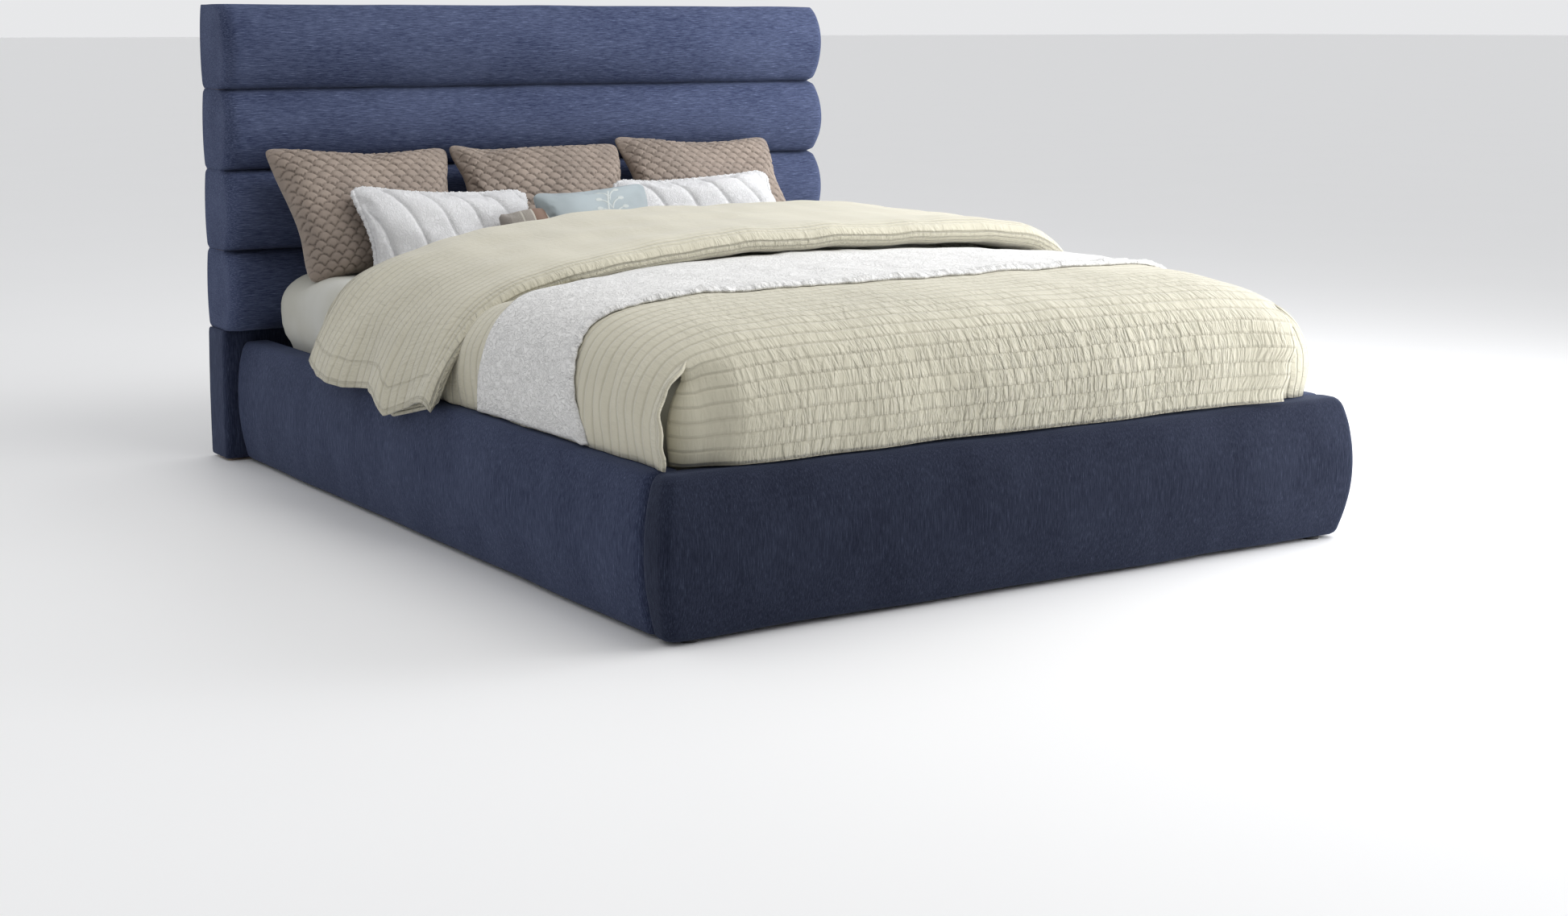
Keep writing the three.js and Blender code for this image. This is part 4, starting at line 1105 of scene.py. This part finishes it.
def scale_place(width):
    """0 at the root of each of the overlapping stitched scales, 1 at its edge."""
    step, radius = width * 0.5, width * 0.56

    def place(x, y):
        best = np.full(x.shape, np.nan)
        for k in (-1, 0, 1, 2):
            row = np.floor(y / step) + k
            shift = np.where(np.mod(row, 2) == 0, 0.0, width / 2)
            centre = np.round((x - shift) / width) * width + shift
            r = np.hypot(x - centre, (y - row * step) * 1.05) / radius
            best = np.where((r < 1) & np.isnan(best), r, best)
        return np.where(np.isnan(best), 1.0, best)
    return place


class BED_OT_shams(bpy.types.Operator):
    """Builds the three quilted shams"""

    bl_idname = "bed.shams"
    bl_label = "Shams"

    def execute(self, context):
        look = context.scene.bed_bedding
        tint = tuple(look.sham)
        f = Finish("sham_pile", roughness=0.7, sheen=0.5, sheen_tint=(0.9, 0.82, 0.75, 1), sheen_roughness=0.35)
        mottle = f.noise(f.place((9, 9, 9)), detail=3.0)
        pile = f.noise(f.place((700, 700, 700)), detail=1.0)
        base = f.mix(f.span(mottle, 0.3, 0.7), tuple(t * 0.86 for t in tint), tuple(t * 1.12 for t in tint))
        # painted shade: the seam value darkens the pile along the edges of each stitched scale, standing in for the
        # shade in the stitch grooves
        f.base(f.mix(f.value("seam"), base, tuple(t * 0.42 for t in tint)))
        f.bump(pile, 0.3, 0.0006)
        place = scale_place(look.scale_width)
        corners = {
            "left": {(-1, -1): (0.030, -0.028, 0.0), (-1, 1): (-0.014, 0.010, -0.01), (1, 1): (0.008, 0.006, -0.012)},
            "middle": {(-1, 1): (-0.010, 0.008, 0.004), (1, 1): (0.010, -0.004, -0.01)},
            "right": {(-1, 1): (-0.014, 0.012, 0.006), (1, 1): (-0.010, 0.004, -0.012), (1, -1): (0.03, -0.01, 0.0)},
        }
        stands = (
            ("left", 2, -1.0, (-0.004, -0.004, -0.004)),
            ("middle", 0, 1.0, (0, 0, 0)),
            ("right", -1, 0.0, (0, 0.004, 0)),
        )
        for k, (name, turn, roll, move) in enumerate(stands):
            node = "sham_" + name
            # the seam values here carry the painted shade along the scale edges
            pillow = make_pillow(node + "_cushion", (0.492, 0.350, 0.112), standing(node, turn, roll, move), 97, 71,
                                 relief=lambda x, y: 0.0058 * (1 - place(x, y) ** 4) - 0.0035,
                                 values={"seam": lambda x, y: smooth(place(x, y), 0.84, 1.0) * 0.75},
                                 pull=0.050, full=0.45, corners=corners[name], seed=30 + 3 * k)
            finish_piece(pillow, "shams", f.material, "sham_velvet", node)
        return {"FINISHED"}


def piping(rim, points, faces, uvs, extra):
    """Adds a ruched cord round a pillow's rim."""
    closed = np.vstack([rim, rim[:1]])
    run = np.concatenate([[0], np.cumsum(np.linalg.norm(np.diff(closed, axis=0), axis=1))])
    count = 420
    at = np.linspace(0, run[-1], count, endpoint=False)
    line = np.stack([np.interp(at, run, closed[:, i]) for i in range(3)], 1)
    ahead = np.roll(line, -2, 0) - np.roll(line, 2, 0)
    ahead /= np.linalg.norm(ahead, axis=1)[:, None]
    outward = np.stack([ahead[:, 1], -ahead[:, 0], np.zeros(count)], 1)
    turns = np.linspace(0, 2 * math.pi, 9)[:-1]
    ruched = 1 + 0.22 * np.sin(at / 0.0075 * 2 * math.pi)[:, None] + 0.14 * np.sin(at * 310 + 1)[:, None]
    radius = 0.0062 * ruched
    tube = (line[:, None, :] + outward[:, None, :] * (np.cos(turns)[None, :, None] * radius[:, :, None])
            + np.array([0, 0, 1.0]) * (np.sin(turns)[None, :, None] * radius[:, :, None]))
    start = len(points)
    loop = grid_faces(count, 8, start, wrap=True)
    last = start + (count - 1) * 8
    loop += [(last + i, last + (i + 1) % 8, start + (i + 1) % 8, start + i) for i in range(8)]
    points = np.vstack([points, tube.reshape(-1, 3)])
    uvs = np.vstack([uvs, np.repeat(np.stack([at, at * 0], 1), 8, 0)])
    extra = {k: np.concatenate([d, np.zeros(count * 8)]) for k, d in extra.items()}
    return points, faces + loop, uvs, extra


class BED_OT_white_pillows(bpy.types.Operator):
    """Builds the two white pillows with curved pleats"""

    bl_idname = "bed.white_pillows"
    bl_label = "White pillows"

    def execute(self, context):
        look = context.scene.bed_bedding
        cloth = jacquard("white_weave", tuple(look.white), size=150.0, strength=0.8, sheen=0.3)

        def pleats(x, y):
            return 0.046 - np.abs(np.mod(x + 0.02 + 0.30 * y + 1.6 * y**2, 0.092) - 0.046)

        corners = {
            "left": {(-1, 1): (-0.004, 0.002, -0.008), (1, 1): (0.012, -0.012, 0.0), (-1, -1): (0.016, -0.010, 0.0)},
            "right": {(-1, 1): (0.0, -0.004, 0.0), (1, 1): (0.006, 0.008, -0.010)},
        }
        stands = (("left", 5, -2.0, (0.006, 0, -0.010)), ("right", -2, 1.0, (0, 0, -0.008)))
        for k, (name, turn, roll, move) in enumerate(stands):
            node = "white_pillow_" + name
            place = standing(node, turn, roll, move)
            pillow = make_pillow(node.replace("pillow", "cushion"), (0.478, 0.244, 0.098), place, 99, 53,
                                 relief=lambda x, y: -0.0085 * np.exp(-pleats(x, y) / 0.0075),
                                 values={"crush": lambda x, y: 0.0 * x}, edge=piping, pull=0.035, full=0.34,
                                 corners=corners[name], seed=50 + 3 * k, cap=0.013)
            finish_piece(pillow, "white_" + name, cloth, "white_cotton", node)
        return {"FINISHED"}


def sprig(x, y):
    """1 on the threads of a small embroidered sprig, else 0."""
    total = np.zeros(x.shape)

    def stem(x0, y0, x1, y1, bend, thick):
        t = np.clip(((x - x0) * (x1 - x0) + (y - y0) * (y1 - y0)) / ((x1 - x0) ** 2 + (y1 - y0) ** 2), 0, 1)
        px = x0 + (x1 - x0) * t - (y1 - y0) * bend * np.sin(t * math.pi)
        py = y0 + (y1 - y0) * t + (x1 - x0) * bend * np.sin(t * math.pi)
        return 1 - smooth(np.hypot(x - px, y - py), thick * 0.5, thick)

    total = np.maximum(total, stem(0.03, -0.10, 0.035, 0.085, 0.10, 0.003))
    for k in range(6):
        base = -0.07 + 0.026 * k
        for side in (-1, 1):
            reach = 0.052 - 0.005 * k
            tip_x, tip_y = 0.032 + side * reach, base + 0.028
            total = np.maximum(total, stem(0.032, base, tip_x, tip_y, 0.16 * side, 0.0022))
            leaf = np.hypot((x - tip_x) / 0.010, (y - tip_y) / 0.0055)
            total = np.maximum(total, (1 - smooth(leaf, 0.75, 1.0)) * 0.9)
    return total


class BED_OT_small_pillows(bpy.types.Operator):
    """Builds the grey pillow with its sprig and the small striped one"""

    bl_idname = "bed.small_pillows"
    bl_label = "Small pillows"

    def execute(self, context):
        look = context.scene.bed_bedding
        tint = tuple(look.grey)
        f = Finish("grey_satin", roughness=0.5, sheen=0.2)
        mottle = f.noise(f.place((7, 7, 7)), detail=3.0)
        thread = f.noise(f.place((900, 900, 900)), detail=1.0)
        base = f.mix(f.span(mottle, 0.3, 0.7), tuple(t * 0.85 for t in tint), tuple(t * 1.15 for t in tint))
        motif = f.value("motif")
        f.base(f.mix(f.math("MULTIPLY", motif, 0.6), base, (0.62, 0.64, 0.60)))
        low = f.bump(motif, 0.6, 0.0012)
        f.bump(thread, 0.25, 0.0005, low)
        place = standing("grey_pillow", 2, 1.0, (-0.04, 0, -0.008))
        grey = make_pillow("grey_cushion", (0.340, 0.236, 0.070), place, 85, 59,
                           values={"motif": sprig}, pull=0.06, full=0.40, seed=71, cap=0.010,
                           corners={(-1, 1): (-0.004, -0.010, 0.0), (1, 1): (0.004, 0.006, -0.006)})
        finish_piece(grey, "grey", f.material, "grey_cotton", "grey_pillow")
        f = Finish("striped_weave", roughness=0.75, sheen=0.15)
        across = axis(f, f.place((1, 1, 1), "UV"), 0)
        ramp = f.tree.nodes.new("ShaderNodeValToRGB")
        ramp.color_ramp.interpolation = "CONSTANT"
        pale, taupe = (0.60, 0.57, 0.50), (0.36, 0.33, 0.29)
        bands = [(0.0, (0.33, 0.30, 0.27)), (0.18, (0.40, 0.37, 0.33)), (0.34, pale), (0.37, taupe),
                 (0.52, pale), (0.55, (0.21, 0.125, 0.085)), (0.82, pale), (0.85, taupe)]
        ramp.color_ramp.elements[0].color = (*bands[0][1], 1)
        ramp.color_ramp.elements[1].position = bands[1][0]
        ramp.color_ramp.elements[1].color = (*bands[1][1], 1)
        for start, tone in bands[2:]:
            element = ramp.color_ramp.elements.new(start)
            element.color = (*tone, 1)
        f.link(f.span(across, -0.075, 0.075, kind="LINEAR"), ramp.inputs["Fac"])
        weave = f.noise(f.place((250, 900, 1), "UV"), detail=2.0)
        f.base(f.mix(f.span(weave, 0.3, 0.7, 0.0, 0.35), ramp.outputs["Color"], (0.1, 0.08, 0.07)))
        f.bump(weave, 0.5, 0.0008)
        place = standing("striped_pillow", -3, 4.0, (0.030, 0.0, -0.014))
        small = make_pillow("striped_cushion", (0.152, 0.170, 0.058), place, 34, 38,
                            pull=0.07, seed=81, cap=0.008)
        finish_piece(small, "striped", f.material, "striped_cotton", "striped_pillow")
        return {"FINISHED"}


# --- frame, hardware and stage ---------------------------------------------


class BED_OT_inner_frame(bpy.types.Operator):
    """Gives the wooden frame, slats, fittings and feet their finishes"""

    bl_idname = "bed.inner_frame"
    bl_label = "Inner frame"

    def execute(self, context):
        pine = {along: wood("pine_" + along, (0.62, 0.43, 0.23), (0.46, 0.29, 0.14), along) for along in "xyz"}
        looks = {
            "ply": wood("birch_ply", (0.56, 0.41, 0.24), (0.45, 0.31, 0.17), "z"),
            "steel": metal("black_powder_coat", (0.024, 0.025, 0.027), 0.42, 0.0, 900.0, 0.35),
            "zinc": metal("zinc_plate", (0.55, 0.56, 0.57), 0.32, 1.0, 300.0, 0.15),
            "plastic": metal("black_plastic_moulded", (0.014, 0.014, 0.015), 0.5, 0.0, 700.0, 0.3),
            "lining": metal("lining_felt", (0.018, 0.021, 0.030), 0.95, 0.0, 450.0, 0.5),
        }
        for name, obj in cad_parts.items():
            if obj.hide_render:
                continue
            if name.startswith(("bracket", "beam_hanger")):
                material = looks["steel"]
            elif name.startswith("corner_bolt"):
                material = looks["zinc"]
            elif name.startswith(("glide", "levelling")):
                material = looks["plastic"]
            elif name == "headboard_back_cover":
                material = looks["lining"]
            elif name == "headboard_front_board":
                material = looks["ply"]
            elif name.startswith(("side_rail", "centre_beam")):
                material = pine["y"]
            elif name.startswith(("headboard_post", "centre_leg")):
                material = pine["z"]
            else:
                material = pine["x"]
            obj.data.materials.clear()
            obj.data.materials.append(material)
        return {"FINISHED"}


def area_light(name, place, aim, size, power, tint):
    """A soft rectangular light at a place, aimed at a point, that the camera doesn't see."""
    data = bpy.data.lights.new(name, "AREA")
    data.shape = "RECTANGLE"
    data.size, data.size_y = size
    data.energy = power
    data.color = tint
    obj = bpy.data.objects.new(name, data)
    obj.location = place
    obj.visible_camera = False
    obj.rotation_euler = (Vector(aim) - Vector(place)).to_track_quat("-Z", "Y").to_euler()
    bpy.context.scene.collection.objects.link(obj)
    return obj


class BED_OT_stage(bpy.types.Operator):
    """Adds the floor, the lights and the camera"""

    bl_idname = "bed.stage"
    bl_label = "Stage"

    def execute(self, context):
        look = context.scene.bed_studio
        bpy.ops.object.select_all(action="DESELECT")
        bpy.ops.mesh.primitive_plane_add(size=400, location=(0, 0, 0))
        floor = bpy.context.object
        floor.name = "floor"
        f = Finish("studio_floor", roughness=0.6)
        grain = f.noise(f.place((1.5, 1.5, 1.5)), detail=2.0)
        f.base(f.mix(grain, tuple(c * 0.985 for c in look.floor), tuple(look.floor)))
        floor.data.materials.append(f.material)
        world = bpy.data.worlds.new("studio")
        world.use_nodes = True
        nodes, links = world.node_tree.nodes, world.node_tree.links
        side = nodes.new("ShaderNodeVectorMath")
        side.operation = "DOT_PRODUCT"
        side.inputs[1].default_value = (0.27, 0.70, 0.66)
        links.new(nodes.new("ShaderNodeTexCoord").outputs["Generated"], side.inputs[0])
        spread = nodes.new("ShaderNodeMapRange")
        for key, value in (("From Min", -0.6), ("From Max", 0.35), ("To Min", 0.24 * look.sky), ("To Max", look.sky)):
            spread.inputs[key].default_value = value
        links.new(side.outputs["Value"], spread.inputs["Value"])
        nodes["Background"].inputs["Color"].default_value = (0.98, 0.985, 1.0, 1)
        links.new(spread.outputs["Result"], nodes["Background"].inputs["Strength"])
        context.scene.world = world
        area_light("key", (0.6, -1.5, 3.9), (0.1, 0.2, 0.4), (2.2, 1.8), look.key, (1.0, 0.985, 0.96))
        area_light("side", (2.6, -0.8, 2.2), (0.4, 1.0, 0.8), (1.8, 1.8), look.fill, (0.97, 0.98, 1.0))
        area_light("head", (1.9, 0.0, 1.5), (0.75, 1.0, 0.95), (0.9, 0.9), look.fill * 0.26, (0.97, 0.98, 1.0))
        area_light("foot", (1.9, -2.0, 0.6), (0.8, -1.1, 0.2), (0.9, 0.9), look.fill * 0.55, (0.97, 0.98, 1.0))
        data = bpy.data.cameras.new("camera")
        camera = bpy.data.objects.new("camera", data)
        context.scene.collection.objects.link(camera)
        data.sensor_width = 36.0
        data.lens = look.lens
        data.shift_y = -0.09
        data.clip_end = 500
        yaw, pitch = math.radians(32.86), math.radians(7.17)
        ahead = Vector((math.sin(yaw) * math.cos(pitch), math.cos(yaw) * math.cos(pitch), -math.sin(pitch)))
        camera.location = (-2.806, -4.542, 1.085)
        camera.rotation_euler = ahead.to_track_quat("-Z", "Y").to_euler()
        context.scene.camera = camera
        context.scene.view_settings.view_transform = "Standard"
        return {"FINISHED"}


class BED_PT_panel(bpy.types.Panel):
    """Lists the steps and sizes of the bed"""

    bl_label = "Upholstered Bed"
    bl_idname = "BED_PT_panel"
    bl_space_type = "VIEW_3D"
    bl_region_type = "UI"
    bl_category = "Bed"

    def draw(self, context):
        for group in ("bed_upholstery", "bed_bedding", "bed_studio"):
            box = self.layout.box()
            settings = getattr(context.scene, group)
            for key in settings.__annotations__:
                box.prop(settings, key)
        for operator in OPERATORS:
            self.layout.operator(operator.bl_idname)


OPERATORS = (
    BED_OT_headboard,
    BED_OT_side_rails,
    BED_OT_footboard,
    BED_OT_mattress,
    BED_OT_quilt,
    BED_OT_runner,
    BED_OT_shams,
    BED_OT_white_pillows,
    BED_OT_small_pillows,
    BED_OT_inner_frame,
    BED_OT_stage,
)
SETTINGS = {"bed_upholstery": UpholsterySettings, "bed_bedding": BeddingSettings, "bed_studio": StudioSettings}


def register():
    for group in SETTINGS.values():
        bpy.utils.register_class(group)
    for name, group in SETTINGS.items():
        setattr(bpy.types.Scene, name, bpy.props.PointerProperty(type=group))
    for operator in OPERATORS:
        bpy.utils.register_class(operator)
    bpy.utils.register_class(BED_PT_panel)


def unregister():
    bpy.utils.unregister_class(BED_PT_panel)
    for operator in reversed(OPERATORS):
        bpy.utils.unregister_class(operator)
    for name, group in SETTINGS.items():
        delattr(bpy.types.Scene, name)
        bpy.utils.unregister_class(group)


def main():
    register()
    for operator in OPERATORS:
        group, name = operator.bl_idname.split(".")
        getattr(getattr(bpy.ops, group), name)()


if __name__ == "__main__":
    main()
